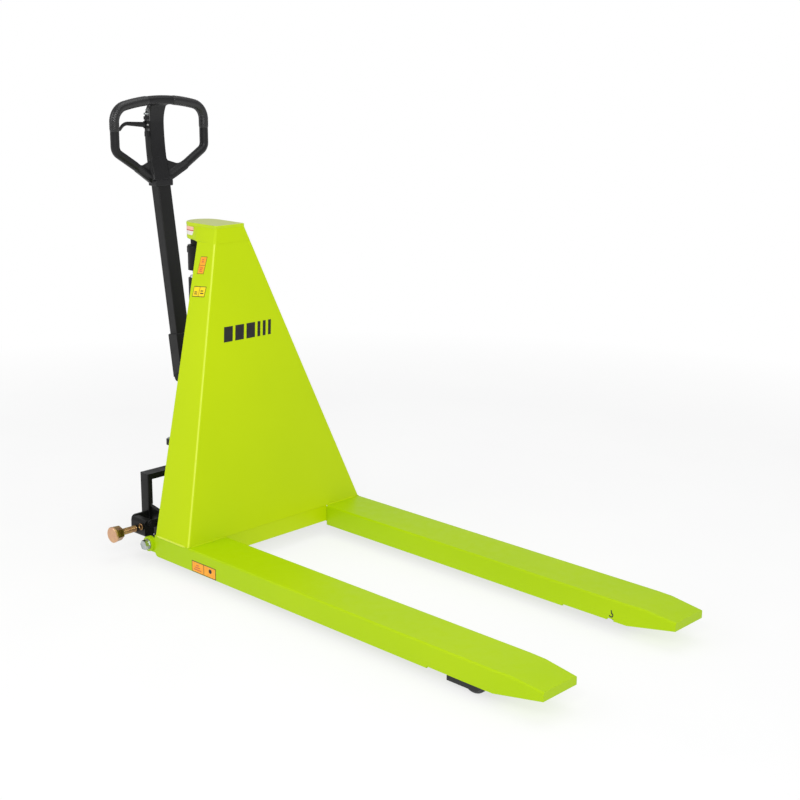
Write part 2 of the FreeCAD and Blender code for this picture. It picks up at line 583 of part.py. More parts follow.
def make_pump():
    pivot = f"{HEEL} - tiller_place"
    body = block("pump_body", (f"{pivot} - 22", f"{STEER} - 31"), (-22, 22), (236, 372))
    body = soften("pump_round", body, 6, along_z)
    ears = []
    for side, (low, high) in enumerate(((-18.4, -9.2), (9.2, 18.4))):
        lug = block(f"pump_ear{side}", (f"{pivot} - 14", f"{pivot} + 14"), (low, high),
                    (366, "tiller_height"))
        crown = rod(f"pump_crown{side}", "Y", 14, low, high, pivot, "tiller_height")
        ears += [lug, crown]
    hole = rod("pump_ear_hole", "Y", "pin_radius + running", -19, 19, pivot, "tiller_height")
    well = rod("pump_well", "Z", "5 + running", 326, 373, f"{pivot} - 10", 0)
    keep(cut("pump_housing", fuse("pump_whole", body, *ears), hole, well), "pump_housing")
    tank = block("tank_body", (f"{STEER} + 33", f"{STEER} + 90"), (-44, 44), (236, 420))
    keep(soften("oil_tank", tank, 12, along_z), "oil_tank")
    stem = rod("plunger_stem", "Z", 5, 348, 404, f"{pivot} - 10", 0)
    button = rod("plunger_button", "Z", 8.4, 401, 405, f"{pivot} - 10", 0)
    keep(fuse("pump_plunger", stem, button), "pump_plunger")
    make_return_spring(f"{pivot} - 10")


def make_return_spring(place_x):
    """An open coil round the plunger, from the pump housing up to the plunger's button."""
    pitch, rise, coil_radius, wire_radius = 6.6, 26.4, 6.9, 0.9
    path = Part.makeHelix(pitch, rise, coil_radius)
    start = Vector(coil_radius, 0, 0)
    slope = Vector(0, math.tau * coil_radius, pitch)
    section = Part.Wire(Part.makeCircle(wire_radius, start, slope))
    spring = DOC.addObject("Part::Feature", "return_spring")
    spring.Shape = Part.Wire(path).makePipeShell([section], True, True)
    keep(place(spring, place_x, 0, 373.4), "return_spring")


# ---------------------------------------------------------------- tiller

def tilt(item):
    """Stand a piece built about the tiller pivot at its place, leaning back."""
    turn = Rotation(Vector(0, 1, 0), -DIMENSIONS["tiller_lean"])
    return place(item, f"{HEEL} - tiller_place", 0, "tiller_height", turn)


def make_tiller():
    """Pieces along the tiller tube, built upright about its pivot and then tilted."""
    top = "(collar_height - 2.3 - tiller_height) / cos(tiller_lean)"
    casting = block("clevis_block", (-23, 15), (-26, 26), (0, 124))
    heel = rod("clevis_heel", "Y", 15, -26, 26, 0, 0)
    slot = block("clevis_slot", (-30, 30), (-19, 19), (-20, 33))
    socket = block("clevis_socket", ("-tube_rear", "tube_front"), ("-tube_width / 2", "tube_width / 2"),
                   (62, 130))
    casting = soften("clevis_top", casting, 3.5, lambda edge: edge.BoundBox.ZMin > 123)
    forked = cut("clevis_fork", fuse("clevis_body", casting, heel), slot, socket)
    tongue = block("tongue_stem", (-10, 10), (-8.7, 8.7), (0, 34))
    tongue_eye = rod("tongue_eye", "Y", 12, -8.7, 8.7, 0, 0)
    arm = block("tongue_arm", (-20, 0), (-8.7, 8.7), (-11, 0))
    arm_end = rod("tongue_end", "Y", 5, -8.7, 8.7, -20, -6)
    roller_room = block("roller_room", (-31, -11.4), (-5, 5), (-16, 4))
    spindle_hole = rod("spindle_hole", "Y", "3 + running", -9, 9, -20, -6)
    hole = rod("clevis_hole", "Y", "pin_radius + running", -28, 28, 0, 0)
    clevis = fuse("clevis_whole", forked, tongue, tongue_eye, arm, arm_end)
    keep(tilt(cut("clevis_bored", clevis, roller_room, spindle_hole, hole)), "tiller_clevis")
    tube = block("tube_outer", ("-tube_rear", "tube_front"), ("-tube_width / 2", "tube_width / 2"),
                 (62, top))
    tube = soften("tube_soft", tube, 3, along_z)
    bore = block("tube_bore", ("3 - tube_rear", "tube_front - 3"),
                 ("3 - tube_width / 2", "tube_width / 2 - 3"), (61, f"{top} + 1"))
    keep(tilt(cut("tiller_tube", tube, bore)), "tiller_tube")
    pin = fuse("tiller_pin", rod("tiller_pin_shaft", "Y", "pin_radius", -29, 29, 0, 0),
               rod("tiller_pin_head", "Y", 12, -31, -27.1, 0, 0))
    keep(tilt(pin), "tiller_pin")
    wheel = rod("pressure_wheel", "Y", 8, -4.8, 4.8, -20, -6)
    spindle = rod("pressure_spindle", "Y", 3, -8.6, 8.6, -20, -6)
    keep(tilt(fuse("pressure_roller", wheel, spindle)), "pressure_roller")
    puller = fuse("control_puller", rod("puller_rod", "Z", 2.5, 80, f"{top} - 12", 0, 0),
                  rod("puller_clip", "Z", 5, 74, 84, 0, 0))
    keep(tilt(puller), "control_rod")


def heel_x():
    return (DIMENSIONS["rear_reach"] - DIMENSIONS["fork_length"]) / 2


def bow(end, crest):
    """The arc in an XZ plane from an end to its rearmost point, the crest, where it runs upright."""
    depth = end.x - crest.x
    rise = end.z - crest.z
    radius = (depth ** 2 + rise ** 2) / (2 * depth)
    half_turn = math.asin(rise / radius) / 2
    middle = crest + Vector(radius * (1 - math.cos(half_turn)), 0, radius * math.sin(half_turn))
    return Part.Arc(end, middle, crest).toShape()


def make_head_spine():
    """The spine from the tube to the top of the loop: it bows to the rear, with a collar at its foot."""
    heel = heel_x()
    low, crest, top = DIMENSIONS["collar_height"], 1130, DIMENSIONS["loop_top"]
    rear = DIMENSIONS["rear_reach"]
    half = 26.5
    front = [Vector(heel - x, -half, z) for x, z in ((466, low), (489, crest), (466, top))]
    back = [Vector(heel - x, -half, z) for x, z in ((493, low), (rear, crest), (485, top))]
    sides = [bow(front[0], front[1]), bow(front[2], front[1]), Part.LineSegment(front[2], back[2]).toShape(),
             bow(back[2], back[1]), bow(back[0], back[1]), Part.LineSegment(back[0], front[0]).toShape()]
    face = Part.Face(Part.Wire(Part.__sortEdges__(sides)))
    body = face.extrude(Vector(0, 2 * half, 0))
    long_edges = [edge for edge in body.Edges if edge.BoundBox.YLength < 0.1 and edge.BoundBox.ZLength > 50]
    body = body.makeFillet(5, long_edges)
    collar = Part.makeBox(38, 58, 12, Vector(heel - 497, -29, low))
    collar = collar.makeChamfer(2, collar.Edges)
    spine = DOC.addObject("Part::Feature", "handle_spine")
    spine.Shape = body.fuse(collar).removeSplitter()
    return keep(spine, "handle_spine")


def round_corner(before, corner, after, radius):
    """The tangent arc that rounds a corner: its start, middle and end points."""
    back = (before - corner).normalize()
    ahead = (after - corner).normalize()
    half_turn = (math.pi - back.getAngle(ahead)) / 2
    run = radius * math.tan(half_turn)
    bisector = (back + ahead).normalize()
    centre = corner + bisector * (radius / math.cos(half_turn))
    return corner + back * run, centre - bisector * radius, corner + ahead * run


def loop_edges():
    """The right-hand half of the loop's centre line: diagonal, upright, shoulder and shallow crown."""
    x = heel_x() - DIMENSIONS["loop_place"]
    half, top = DIMENSIONS["loop_half"], DIMENSIONS["loop_top"]
    crown, shoulder = 516, 45
    crown_centre = Vector(x, 0, top - crown)
    side = shoulder - half
    rise = math.sqrt((crown - shoulder) ** 2 - side ** 2)
    centre = crown_centre + Vector(0, side, rise)
    outward = (centre - crown_centre).normalize()
    upright_top = centre - Vector(0, shoulder, 0)
    shoulder_end = centre + outward * shoulder
    shoulder_middle = centre + (outward - Vector(0, 1, 0)).normalize() * shoulder
    crown_middle = crown_centre + (outward + Vector(0, 0, 1)).normalize() * crown
    foot, corner = Vector(x, -20, 972), Vector(x, -half, 1058)
    low = round_corner(foot, corner, upright_top, 26)
    return [Part.LineSegment(foot, low[0]).toShape(),
            Part.Arc(*low).toShape(),
            Part.LineSegment(low[2], upright_top).toShape(),
            Part.Arc(upright_top, shoulder_middle, shoulder_end).toShape(),
            Part.Arc(shoulder_end, crown_middle, Vector(x, 0, top)).toShape()]


def make_loop():
    """The closed hand loop, with webs that stiffen its foot."""
    edges = loop_edges()
    foot = edges[0].Vertexes[0].Point
    along = (edges[0].Vertexes[1].Point - foot).normalize()
    other_half = [edge.mirror(Vector(), Vector(0, 1, 0)) for edge in edges]
    path = Part.Wire(Part.__sortEdges__(edges + other_half))
    section = Part.Wire(Part.makeCircle(DIMENSIONS["grip_radius"], foot, along))
    grip = path.makePipeShell([section], True, False)
    corners = [(-20, 968), (-78, 1010), (-71, 1025), (-40, 1029), (-20, 1046), (-20, 968)]
    web_outline = Part.makePolygon([Vector(foot.x - 5, y, z) for y, z in corners])
    web = Part.Face(web_outline).extrude(Vector(10, 0, 0))
    far_web = web.mirror(Vector(), Vector(0, 1, 0))
    loop = DOC.addObject("Part::Feature", "handle_loop")
    loop.Shape = grip.multiFuse([web, far_web]).cut(DOC.getObject("handle_spine").Shape)
    keep(loop, "handle_loop")


def make_lever():
    x = heel_x() - 489
    plate = Part.makeBox(16, 1.5, 96, Vector(x - 8, -28, 1034))
    ears = [Part.makeBox(3, 13, 20, Vector(x + shift, -39.5, 1116)) for shift in (-8, 5)]
    bracket = plate.multiFuse(ears)
    hole = Part.makeCylinder(3.05, 40, Vector(x - 20, -35, 1126), Vector(1, 0, 0))
    item = DOC.addObject("Part::Feature", "lever_bracket")
    item.Shape = bracket.cut(hole).removeSplitter()
    keep(item, "lever_bracket")
    make_control_lever(Vector(x, -35, 1126))


def lever_edges(root):
    """The control lever's centre line: out and slightly up from its boss, then curling down to the tip."""
    rise, fall = math.radians(4.7), math.radians(-50)
    bend_radius, tip_length = 26, 13

    def heading(angle):
        return Vector(0, -math.cos(angle), math.sin(angle))

    def inward(angle):
        return Vector(0, -math.sin(angle), -math.cos(angle))

    bend = root + heading(rise) * 62
    centre = bend + inward(rise) * bend_radius
    middle = centre - inward((rise + fall) / 2) * bend_radius
    end = centre - inward(fall) * bend_radius
    return [Part.LineSegment(root, bend).toShape(), Part.Arc(bend, middle, end).toShape(),
            Part.LineSegment(end, end + heading(fall) * tip_length).toShape()]


def make_control_lever(pivot):
    edges = lever_edges(pivot)
    along = edges[0].Vertexes[1].Point - edges[0].Vertexes[0].Point
    section = Part.Wire(Part.makeCircle(4.4, pivot, along))
    arm = Part.Wire(edges).makePipeShell([section], True, False)
    tip = [edge for edge in arm.Edges
           if edge.BoundBox.YMax < pivot.y - 84 and edge.BoundBox.ZMax < pivot.z - 5]
    arm = arm.makeFillet(3, [edge for edge in tip if len(edge.Vertexes) == 1])
    boss = Part.makeCylinder(5.6, 9.4, pivot - Vector(4.7, 0, 0), Vector(1, 0, 0))
    axle = Part.makeCylinder(3, 16.4, pivot - Vector(8.2, 0, 0), Vector(1, 0, 0))
    item = DOC.addObject("Part::Feature", "control_lever")
    item.Shape = boss.multiFuse([axle, arm]).removeSplitter()
    keep(item, "control_lever")


# ---------------------------------------------------------------- build and write

def check_document():
    faulty = [item.Name for item in DOC.Objects if {"Invalid", "Error"} & set(item.State)]
    if faulty:
        raise SystemExit("failed objects: " + ", ".join(faulty))
    for item in PIECES:
        shape = item.Shape
        if shape.isNull() or not shape.isValid() or not shape.Solids or shape.Volume <= 0:
            raise SystemExit("bad shape: " + item.Label)


def write_pieces():
    os.makedirs("parts", exist_ok=True)
    for item in PIECES:
        item.Shape.exportStep(f"parts/{item.Label}.step")


fill_sheet()
make_forks()
make_tower()
make_head()
make_pivot_bolts()
make_outer_arms()
make_inner_arms()
make_small_wheels()
make_base()
make_stabilisers()
make_steering()
make_hydraulics()
make_tiller()
make_head_spine()
make_loop()
make_lever()
DOC.recompute()
check_document()
write_pieces()
print("pieces:", len(PIECES))
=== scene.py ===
import json
import math

import bmesh
import bpy
import numpy as np
import openvdb
from mathutils import Matrix, Vector


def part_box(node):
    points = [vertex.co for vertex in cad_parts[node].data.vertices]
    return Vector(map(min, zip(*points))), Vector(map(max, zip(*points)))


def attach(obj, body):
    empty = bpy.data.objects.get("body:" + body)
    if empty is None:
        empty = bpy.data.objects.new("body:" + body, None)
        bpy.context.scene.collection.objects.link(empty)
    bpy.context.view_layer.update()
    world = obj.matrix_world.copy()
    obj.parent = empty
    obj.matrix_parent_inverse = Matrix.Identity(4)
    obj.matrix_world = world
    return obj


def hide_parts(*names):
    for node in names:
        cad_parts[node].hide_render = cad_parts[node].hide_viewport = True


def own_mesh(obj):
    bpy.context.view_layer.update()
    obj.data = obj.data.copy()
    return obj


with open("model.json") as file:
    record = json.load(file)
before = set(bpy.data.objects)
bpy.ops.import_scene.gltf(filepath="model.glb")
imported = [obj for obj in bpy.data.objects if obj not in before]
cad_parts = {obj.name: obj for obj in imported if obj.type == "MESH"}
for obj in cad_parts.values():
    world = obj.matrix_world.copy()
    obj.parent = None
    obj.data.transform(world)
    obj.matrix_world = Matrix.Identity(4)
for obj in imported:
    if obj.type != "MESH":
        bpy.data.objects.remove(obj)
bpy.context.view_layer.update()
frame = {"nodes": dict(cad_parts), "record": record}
NODES = frame["nodes"]
MM = 0.001
SIDES = (("right", -1), ("left", 1))


# ---------------------------------------------------------------- materials

def srgb(red, green, blue):
    """A colour given as 8-bit display values, in linear light."""
    def linear(value):
        value /= 255
        return value / 12.92 if value <= 0.04045 else ((value + 0.055) / 1.055) ** 2.4
    return linear(red), linear(green), linear(blue), 1.0


class Material:
    """A principled material whose nodes are added one by one; textures are in object metres."""

    def __init__(self, name, colour, roughness, metallic=0.0, specular=0.5):
        self.name = name
        self.data = bpy.data.materials.new("look_" + name)
        self.data.use_nodes = True
        self.tree = self.data.node_tree
        self.shader = self.tree.nodes["Principled BSDF"]
        self.colour = colour
        self.shader.inputs["Base Color"].default_value = colour
        self.shader.inputs["Roughness"].default_value = roughness
        self.shader.inputs["Metallic"].default_value = metallic
        self.shader.inputs["Specular IOR Level"].default_value = specular
        self.place = self.tree.nodes.new("ShaderNodeTexCoord").outputs["Object"]

    def node(self, kind, **settings):
        item = self.tree.nodes.new(kind)
        for key, value in settings.items():
            setattr(item, key, value)
        return item

    def set(self, socket, value):
        if isinstance(value, bpy.types.NodeSocket):
            self.tree.links.new(value, socket)
        else:
            socket.default_value = value

    def stretched(self, x, y, z):
        item = self.node("ShaderNodeMapping")
        self.set(item.inputs["Vector"], self.place)
        item.inputs["Scale"].default_value = (x, y, z)
        return item.outputs["Vector"]

    def noise(self, scale, detail=2.0, place=None):
        item = self.node("ShaderNodeTexNoise")
        self.set(item.inputs["Vector"], place or self.place)
        item.inputs["Scale"].default_value = scale
        item.inputs["Detail"].default_value = detail
        return item.outputs["Fac"]

    def cells(self, scale, place=None):
        item = self.node("ShaderNodeTexVoronoi")
        self.set(item.inputs["Vector"], place or self.place)
        item.inputs["Scale"].default_value = scale
        return item.outputs["Distance"]

    def remap(self, source, low, high, from_low=0.3, from_high=0.7):
        item = self.node("ShaderNodeMapRange")
        self.set(item.inputs["Value"], source)
        item.inputs["From Min"].default_value = from_low
        item.inputs["From Max"].default_value = from_high
        item.inputs["To Min"].default_value = low
        item.inputs["To Max"].default_value = high
        return item.outputs["Result"]

    def mix(self, amount, first, second):
        item = self.node("ShaderNodeMix", data_type="RGBA")
        self.set(item.inputs["Factor"], amount)
        self.set(item.inputs[6], first)
        self.set(item.inputs[7], second)
        return item.outputs[2]

    def paint_with(self, colour):
        self.set(self.shader.inputs["Base Color"], colour)

    def vary_colour(self, scale, other, detail=2.0):
        amount = self.remap(self.noise(scale, detail), 0.0, 1.0)
        self.paint_with(self.mix(amount, self.colour, other))

    def add_dust(self, scale, most, low, colour):
        """Dust that settles in patches, at most that share of the colour."""
        dust = self.remap(self.noise(scale, 5.0), 0.0, most, low, 0.75)
        self.paint_with(self.mix(dust, self.colour, colour))

    def vary_roughness(self, scale, low, high, place=None, detail=3.0):
        source = self.noise(scale, detail, place)
        self.set(self.shader.inputs["Roughness"], self.remap(source, low, high))

    def bump(self, height, depth, strength=1.0):
        """Adds a bump of that depth in metres on top of what is already bumped."""
        item = self.node("ShaderNodeBump")
        item.inputs["Strength"].default_value = strength
        item.inputs["Distance"].default_value = depth
        self.set(item.inputs["Height"], height)
        normal = self.shader.inputs["Normal"]
        if normal.is_linked:
            self.set(item.inputs["Normal"], normal.links[0].from_socket)
        self.set(normal, item.outputs["Normal"])


def powder_coat(name, colour, other, specular, low, high):
    """Powder coat on sheet steel: orange peel, and plate that isn't dead flat."""
    paint = Material(name, colour, 0.4, specular=specular)
    paint.vary_colour(2.3, other, detail=3.0)
    paint.vary_roughness(35, low, high)
    paint.bump(paint.noise(5.5, 1.0), 1.6 * MM, 0.35)
    paint.bump(paint.noise(420, 2.0), 0.09 * MM, 0.35)
    return paint


def plate_reflection_paint():
    """The plate on top of the tower: lime edges, and a paler, mottled grey on its upward faces that is a
    painted reflection of the light above.
    """
    paint = powder_coat("plate_reflection_paint", srgb(186, 212, 0), srgb(193, 217, 0), 0.3, 0.3, 0.42)
    parts = paint.node("ShaderNodeSeparateXYZ")
    paint.set(parts.inputs["Vector"], paint.node("ShaderNodeNewGeometry").outputs["Normal"])
    # Faces that look up turn pale grey: painted reflection.
    upward = paint.remap(parts.outputs["Z"], 0.0, 1.0, 0.8, 0.98)
    lime = paint.shader.inputs["Base Color"].links[0].from_socket
    painted_reflection = paint.mix(paint.noise(70, 4.0), srgb(184, 196, 96), srgb(200, 208, 132))
    paint.paint_with(paint.mix(upward, lime, painted_reflection))
    return paint


def black_enamel(name="black_paint", level=15, specular=0.22):
    paint = Material(name, srgb(level, level, level), 0.42, specular=specular)
    paint.vary_colour(6, srgb(level + 6, level + 6, level + 7), detail=3.0)
    paint.vary_roughness(45, 0.34, 0.5)
    paint.bump(paint.noise(9, 1.0), 0.8 * MM, 0.3)
    paint.bump(paint.noise(520, 2.0), 0.08 * MM, 0.4)
    return paint


def arm_enamel():
    """Thicker black enamel on flame-cut bar, with a little road dust."""
    paint = Material("arm_paint", srgb(32, 32, 33), 0.5, specular=0.4)
    paint.add_dust(24, 0.35, 0.5, srgb(74, 70, 64))
    paint.vary_roughness(60, 0.42, 0.6)
    paint.bump(paint.noise(260, 3.0), 0.12 * MM, 0.5)
    return paint


def moulded_plastic(name="black_plastic", level=16):
    """Spark-eroded grain on a black moulding."""
    plastic = Material(name, srgb(level, level, level + 2), 0.36, specular=0.32)
    plastic.vary_colour(14, srgb(level + 7, level + 7, level + 9), detail=2.0)
    plastic.vary_roughness(50, 0.28, 0.42)
    plastic.bump(plastic.cells(900), 0.07 * MM, 0.5)
    plastic.bump(plastic.noise(24, 2.0), 0.25 * MM, 0.3)
    return plastic


def grip_rubber():
    rubber = Material("grip_rubber", srgb(10, 10, 11), 0.3, specular=0.6)
    rubber.vary_colour(60, srgb(20, 20, 22), detail=3.0)
    rubber.vary_roughness(120, 0.16, 0.34)
    rubber.bump(rubber.noise(1500, 2.0), 0.05 * MM, 0.5)
    return rubber


def wheel_nylon():
    nylon = Material("load_wheel", srgb(40, 41, 44), 0.38, specular=0.5)
    nylon.vary_colour(30, srgb(54, 55, 58), detail=4.0)
    nylon.vary_roughness(90, 0.3, 0.52)
    nylon.bump(nylon.noise(220, 3.0), 0.06 * MM, 0.5)
    return nylon


def tyre_rubber():
    rubber = Material("steer_tyre", srgb(33, 33, 35), 0.62, specular=0.4)
    rubber.add_dust(70, 0.4, 0.48, srgb(82, 79, 74))
    rubber.vary_roughness(150, 0.52, 0.74)
    rubber.bump(rubber.noise(700, 3.0), 0.1 * MM, 0.6)
    return rubber


def cast_hub():
    iron = Material("steer_hub", srgb(70, 71, 73), 0.5, specular=0.5)
    iron.vary_colour(45, srgb(92, 92, 94), detail=4.0)
    iron.vary_roughness(80, 0.42, 0.62)
    iron.bump(iron.noise(330, 3.0), 0.25 * MM, 0.6)
    return iron


def metal(name, colour, other, low, high, grain=(1, 1, 1), grain_scale=400, mottle=60):
    """Bare or plated metal: mottled colour, uneven gloss and fine machining marks."""
    item = Material(name, colour, 0.3, metallic=1.0)
    item.vary_colour(mottle, other, detail=4.0)
    marks = item.stretched(*grain)
    item.vary_roughness(grain_scale, low, high, marks)
    item.bump(item.noise(grain_scale, 2.0, marks), 0.02 * MM, 0.6)
    return item


def decal_vinyl(name, colour, other):
    """Printed vinyl: uneven ink, slight wrinkles."""
    vinyl = Material(name, colour, 0.35, specular=0.4)
    vinyl.vary_colour(90, other, detail=3.0)
    vinyl.vary_roughness(120, 0.28, 0.44)
    vinyl.bump(vinyl.noise(160, 2.0), 0.05 * MM, 0.5)
    return vinyl


def floor_paint(radius):
    """A pale floor that lightens to the white of the backdrop away from the truck."""
    paint = Material("floor", srgb(250, 250, 250), 0.9, specular=0.1)
    paint.vary_colour(3, srgb(246, 246, 247), detail=3.0)
    away = paint.node("ShaderNodeVectorMath", operation="LENGTH")
    paint.set(away.inputs[0], paint.place)
    fade = paint.remap(away.outputs["Value"], 0.72, 1.0, 0.6 * radius, radius)
    white = paint.node("ShaderNodeEmission")
    blend = paint.node("ShaderNodeMixShader")
    paint.set(blend.inputs["Fac"], fade)
    paint.set(blend.inputs[1], paint.shader.outputs["BSDF"])
    paint.set(blend.inputs[2], white.outputs["Emission"])
    paint.set(paint.tree.nodes["Material Output"].inputs["Surface"], blend.outputs["Shader"])
    return paint


# The forks get a darker, greener copy of the tower's lime: painted shade. The bends and flange welds get a
# paler lime: painted highlight.
LOOKS = {item.name: item.data for item in (
    powder_coat("lime_paint", srgb(186, 212, 0), srgb(193, 217, 0), 0.16, 0.34, 0.46),
    # A paler, glossier lime for the tower's bends: a painted highlight down each bend.
    powder_coat("bend_highlight_paint", srgb(216, 232, 62), srgb(206, 226, 34), 0.4, 0.26, 0.4),
    # A darker, greener copy of the tower's lime for the forks: painted shade.
    powder_coat("fork_shaded_paint", srgb(170, 205, 0), srgb(177, 209, 0), 0.16, 0.34, 0.46),
    plate_reflection_paint(),
    # A paler lime for the flange welds: a painted highlight along each weld.
    powder_coat("weld_highlight_paint", srgb(214, 230, 70), srgb(200, 222, 30), 0.4, 0.3, 0.42),
    black_enamel(), black_enamel("tube_paint", 18, 0.3), black_enamel("casting_paint", 26, 0.3), arm_enamel(),
    moulded_plastic(), moulded_plastic("lever_plastic", 13), grip_rubber(), wheel_nylon(), tyre_rubber(),
    cast_hub(),
    metal("steel", srgb(186, 186, 184), srgb(158, 158, 158), 0.24, 0.4, (1, 6, 1)),
    metal("strip_steel", srgb(122, 122, 122), srgb(96, 96, 96), 0.3, 0.46),
    metal("chrome_rod", srgb(214, 215, 218), srgb(200, 201, 205), 0.06, 0.14, (1, 1, 8)),
    metal("zinc_bolt", srgb(196, 200, 198), srgb(158, 166, 166), 0.16, 0.34),
    metal("gold_zinc", srgb(178, 150, 92), srgb(140, 100, 76), 0.2, 0.38, mottle=85),
    metal("pink_zinc", srgb(222, 184, 138), srgb(212, 164, 136), 0.3, 0.46, mottle=70),
    metal("spring_steel", srgb(128, 128, 132), srgb(96, 96, 104), 0.22, 0.4),
    decal_vinyl("orange_vinyl", srgb(248, 158, 22), srgb(252, 176, 40)),
    decal_vinyl("yellow_vinyl", srgb(253, 226, 10), srgb(250, 214, 16)),
    decal_vinyl("pale_vinyl", srgb(238, 232, 226), srgb(228, 222, 216)),
    decal_vinyl("rose_vinyl", srgb(246, 196, 170), srgb(242, 184, 160)),
    decal_vinyl("red_vinyl", srgb(206, 92, 62), srgb(190, 78, 56)),
    decal_vinyl("dark_vinyl", srgb(24, 24, 24), srgb(34, 33, 32)),
)}

NODE_LOOKS = {
    "top_plate": "plate_reflection_paint",
    # The forks take the darker lime copy: painted shade.
    "fork_right": "fork_shaded_paint",
    "fork_left": "fork_shaded_paint",
    "lever_bracket": "black_paint",
    "stabiliser_pins": "black_paint",
    "tiller_pin": "black_paint",
    "tiller_tube": "tube_paint",
    "tiller_clevis": "casting_paint",
}


def finish_nodes():
    """Gives every CAD node the finish that its material slot names."""
    for part in frame["record"]["subparts"]:
        node = NODES[part["node"]]
        look = LOOKS[NODE_LOOKS.get(part["node"], part["material_slot"])]
        node.data.materials.clear()
        node.data.materials.append(look)


BODY_OF = {name: body for body, names in frame["record"]["behaviour"]["bodies"].items() for name in names}


# ---------------------------------------------------------------- mesh helpers

def shown(name, data):
    """A new object in the scene with that mesh, light or camera."""
    item = bpy.data.objects.new(name, data)
    bpy.context.scene.collection.objects.link(item)
    return item


def new_piece(name, surface, look, body, smooth_under=35):
    """A mesh object from a surface's points and faces, which rides on a body."""
    points, faces = surface
    mesh = bpy.data.meshes.new(name)
    mesh.from_pydata([tuple(p) for p in points], [], [tuple(f) for f in faces])
    mesh.validate()
    piece = shown(name, mesh)
    mesh.materials.append(LOOKS[look])
    shade(mesh, smooth_under)
    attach(piece, body)
    return piece


def shade(mesh, smooth_under):
    """Outward faces, smooth except over edges that turn by more than smooth_under degrees."""
    work = bmesh.new()
    work.from_mesh(mesh)
    bmesh.ops.remove_doubles(work, verts=work.verts, dist=1e-6)
    bmesh.ops.recalc_face_normals(work, faces=work.faces)
    limit = math.radians(smooth_under)
    for edge in work.edges:
        edge.smooth = len(edge.link_faces) != 2 or edge.calc_face_angle(0) < limit
    for face in work.faces:
        face.smooth = True
    work.to_mesh(mesh)
    work.free()


def bevelled(piece, width, segments=2):
    """Rounds a piece's sharp edges, and keeps its flats flat."""
    bevel = piece.modifiers.new("edge", "BEVEL")
    bevel.width = width
    bevel.segments = segments
    bevel.limit_method = "ANGLE"
    bevel.angle_limit = math.radians(35)
    bevel.use_clamp_overlap = True
    bevel.harden_normals = True
    return piece


def stands_for(piece, node, body_node):
    """The piece is shown in place of a CAD node, and rides where body_node does."""
    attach(piece, BODY_OF[body_node])
    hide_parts(node)


def dressed(node, width, segments=2):
    """A copy of a CAD node with its edges broken, as machining, bending and paint leave them."""
    mesh = NODES[node].data.copy()
    mesh.name = node + "_finished"
    piece = shown(mesh.name, mesh)
    for name in ("custom_normal", "sharp_face", "sharp_edge"):
        found = mesh.attributes.get(name)
        if found:
            mesh.attributes.remove(found)
    shade(mesh, 35)
    bevelled(piece, width, segments)
    stands_for(piece, node, node)


def bridge(rings, ends=True):
    """Points and faces of the surface through rings of equally many points."""
    size = len(rings[0])
    faces = []
    for level in range(len(rings) - 1):
        base, above = level * size, (level + 1) * size
        for i in range(size):
            j = (i + 1) % size
            faces.append((base + i, base + j, above + j, above + i))
    if ends:
        faces.append(tuple(range(size))[::-1])
        faces.append(tuple(range((len(rings) - 1) * size, len(rings) * size)))
    return [p for ring in rings for p in ring], faces


def lathe(name, start, way, profile, look, body, around=48, corners=None):
    """A turned piece: profile is (distance along, radius) in mm; corners gives a hexagon or the like."""
    start, along = Vector(start), Vector(way).normalized()
    side = along.orthogonal().normalized()
    other = along.cross(side)
    rings = []
    for distance, radius in profile:
        ring = []
        for i in range(around):
            angle = math.tau * i / around
            reach = radius * MM
            if corners:
                sector = math.tau / corners
                reach = min(reach, reach * math.cos(sector / 2) / math.cos((angle % sector) - sector / 2))
            out = side * math.cos(angle) + other * math.sin(angle)
            ring.append(start + along * (distance * MM) + out * reach)
        rings.append(ring)
    return new_piece(name, bridge(rings), look, body)


def decal(name, corner, along, up, look):
    """A sticker on the fork frame from one corner and its two edge vectors."""
    corner, along, up = Vector(corner), Vector(along), Vector(up)
    out = along.cross(up).normalized() * (0.25 * MM)
    base = [corner, corner + along, corner + along + up, corner + up]
    new_piece(name, bridge([base, [p + out for p in base]]), look, "fork_frame")


def box_piece(name, low, high, look, body):
    """A block with broken edges."""
    low, high = Vector(low), Vector(high)
    ring = [(low.x, low.y), (high.x, low.y), (high.x, high.y), (low.x, high.y)]
    surface = bridge([[Vector((x, y, z)) for x, y in ring] for z in (low.z, high.z)])
    bevelled(new_piece(name, surface, look, body), 0.8 * MM)


def swept(path, frames, radius_of, around=24):
    """Rings round a path; frames holds (side, other) per point, radius_of(share, angle) gives (a, b)."""
    rings = []
    for i, (point, (side, other)) in enumerate(zip(path, frames)):
        share = i / (len(path) - 1)
        ring = []
        for k in range(around):
            angle = math.tau * k / around
            a, b = radius_of(share, angle)
            ring.append(point + side * (a * math.cos(angle)) + other * (b * math.sin(angle)))
        rings.append(ring)
    return rings


def flat_frames(path, normal):
    """(side, other) at each point of a path that lies in the plane with that normal."""
    normal = Vector(normal)
    frames = []
    for i in range(len(path)):
        way = (path[min(i + 1, len(path) - 1)] - path[max(i - 1, 0)]).normalized()
        frames.append((way.cross(normal), normal))
    return frames


# ---------------------------------------------------------------- tower

PANEL_LOW, PANEL_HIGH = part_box("tower_panel")
CAP_LOW, CAP_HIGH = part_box("head_cap")
FORK_TOP = PANEL_LOW.z
SHEET = 5 * MM
BEND = 7 * MM
HEAD_RADIUS = 50 * MM
TOWER_TOP = PANEL_HIGH.z
HEEL = PANEL_HIGH.x
HALF_LOW = PANEL_HIGH.y
HALF_TOP = 62.52 * MM
HALF_SLOPE = (HALF_LOW - HALF_TOP) / (TOWER_TOP - FORK_TOP)
FRONT_SLOPE = (HEEL - SHEET - PANEL_LOW.x) / (TOWER_TOP - FORK_TOP)
REAR_LOW = HEEL - 137 * MM
REAR_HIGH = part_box("flange_right")[0].x


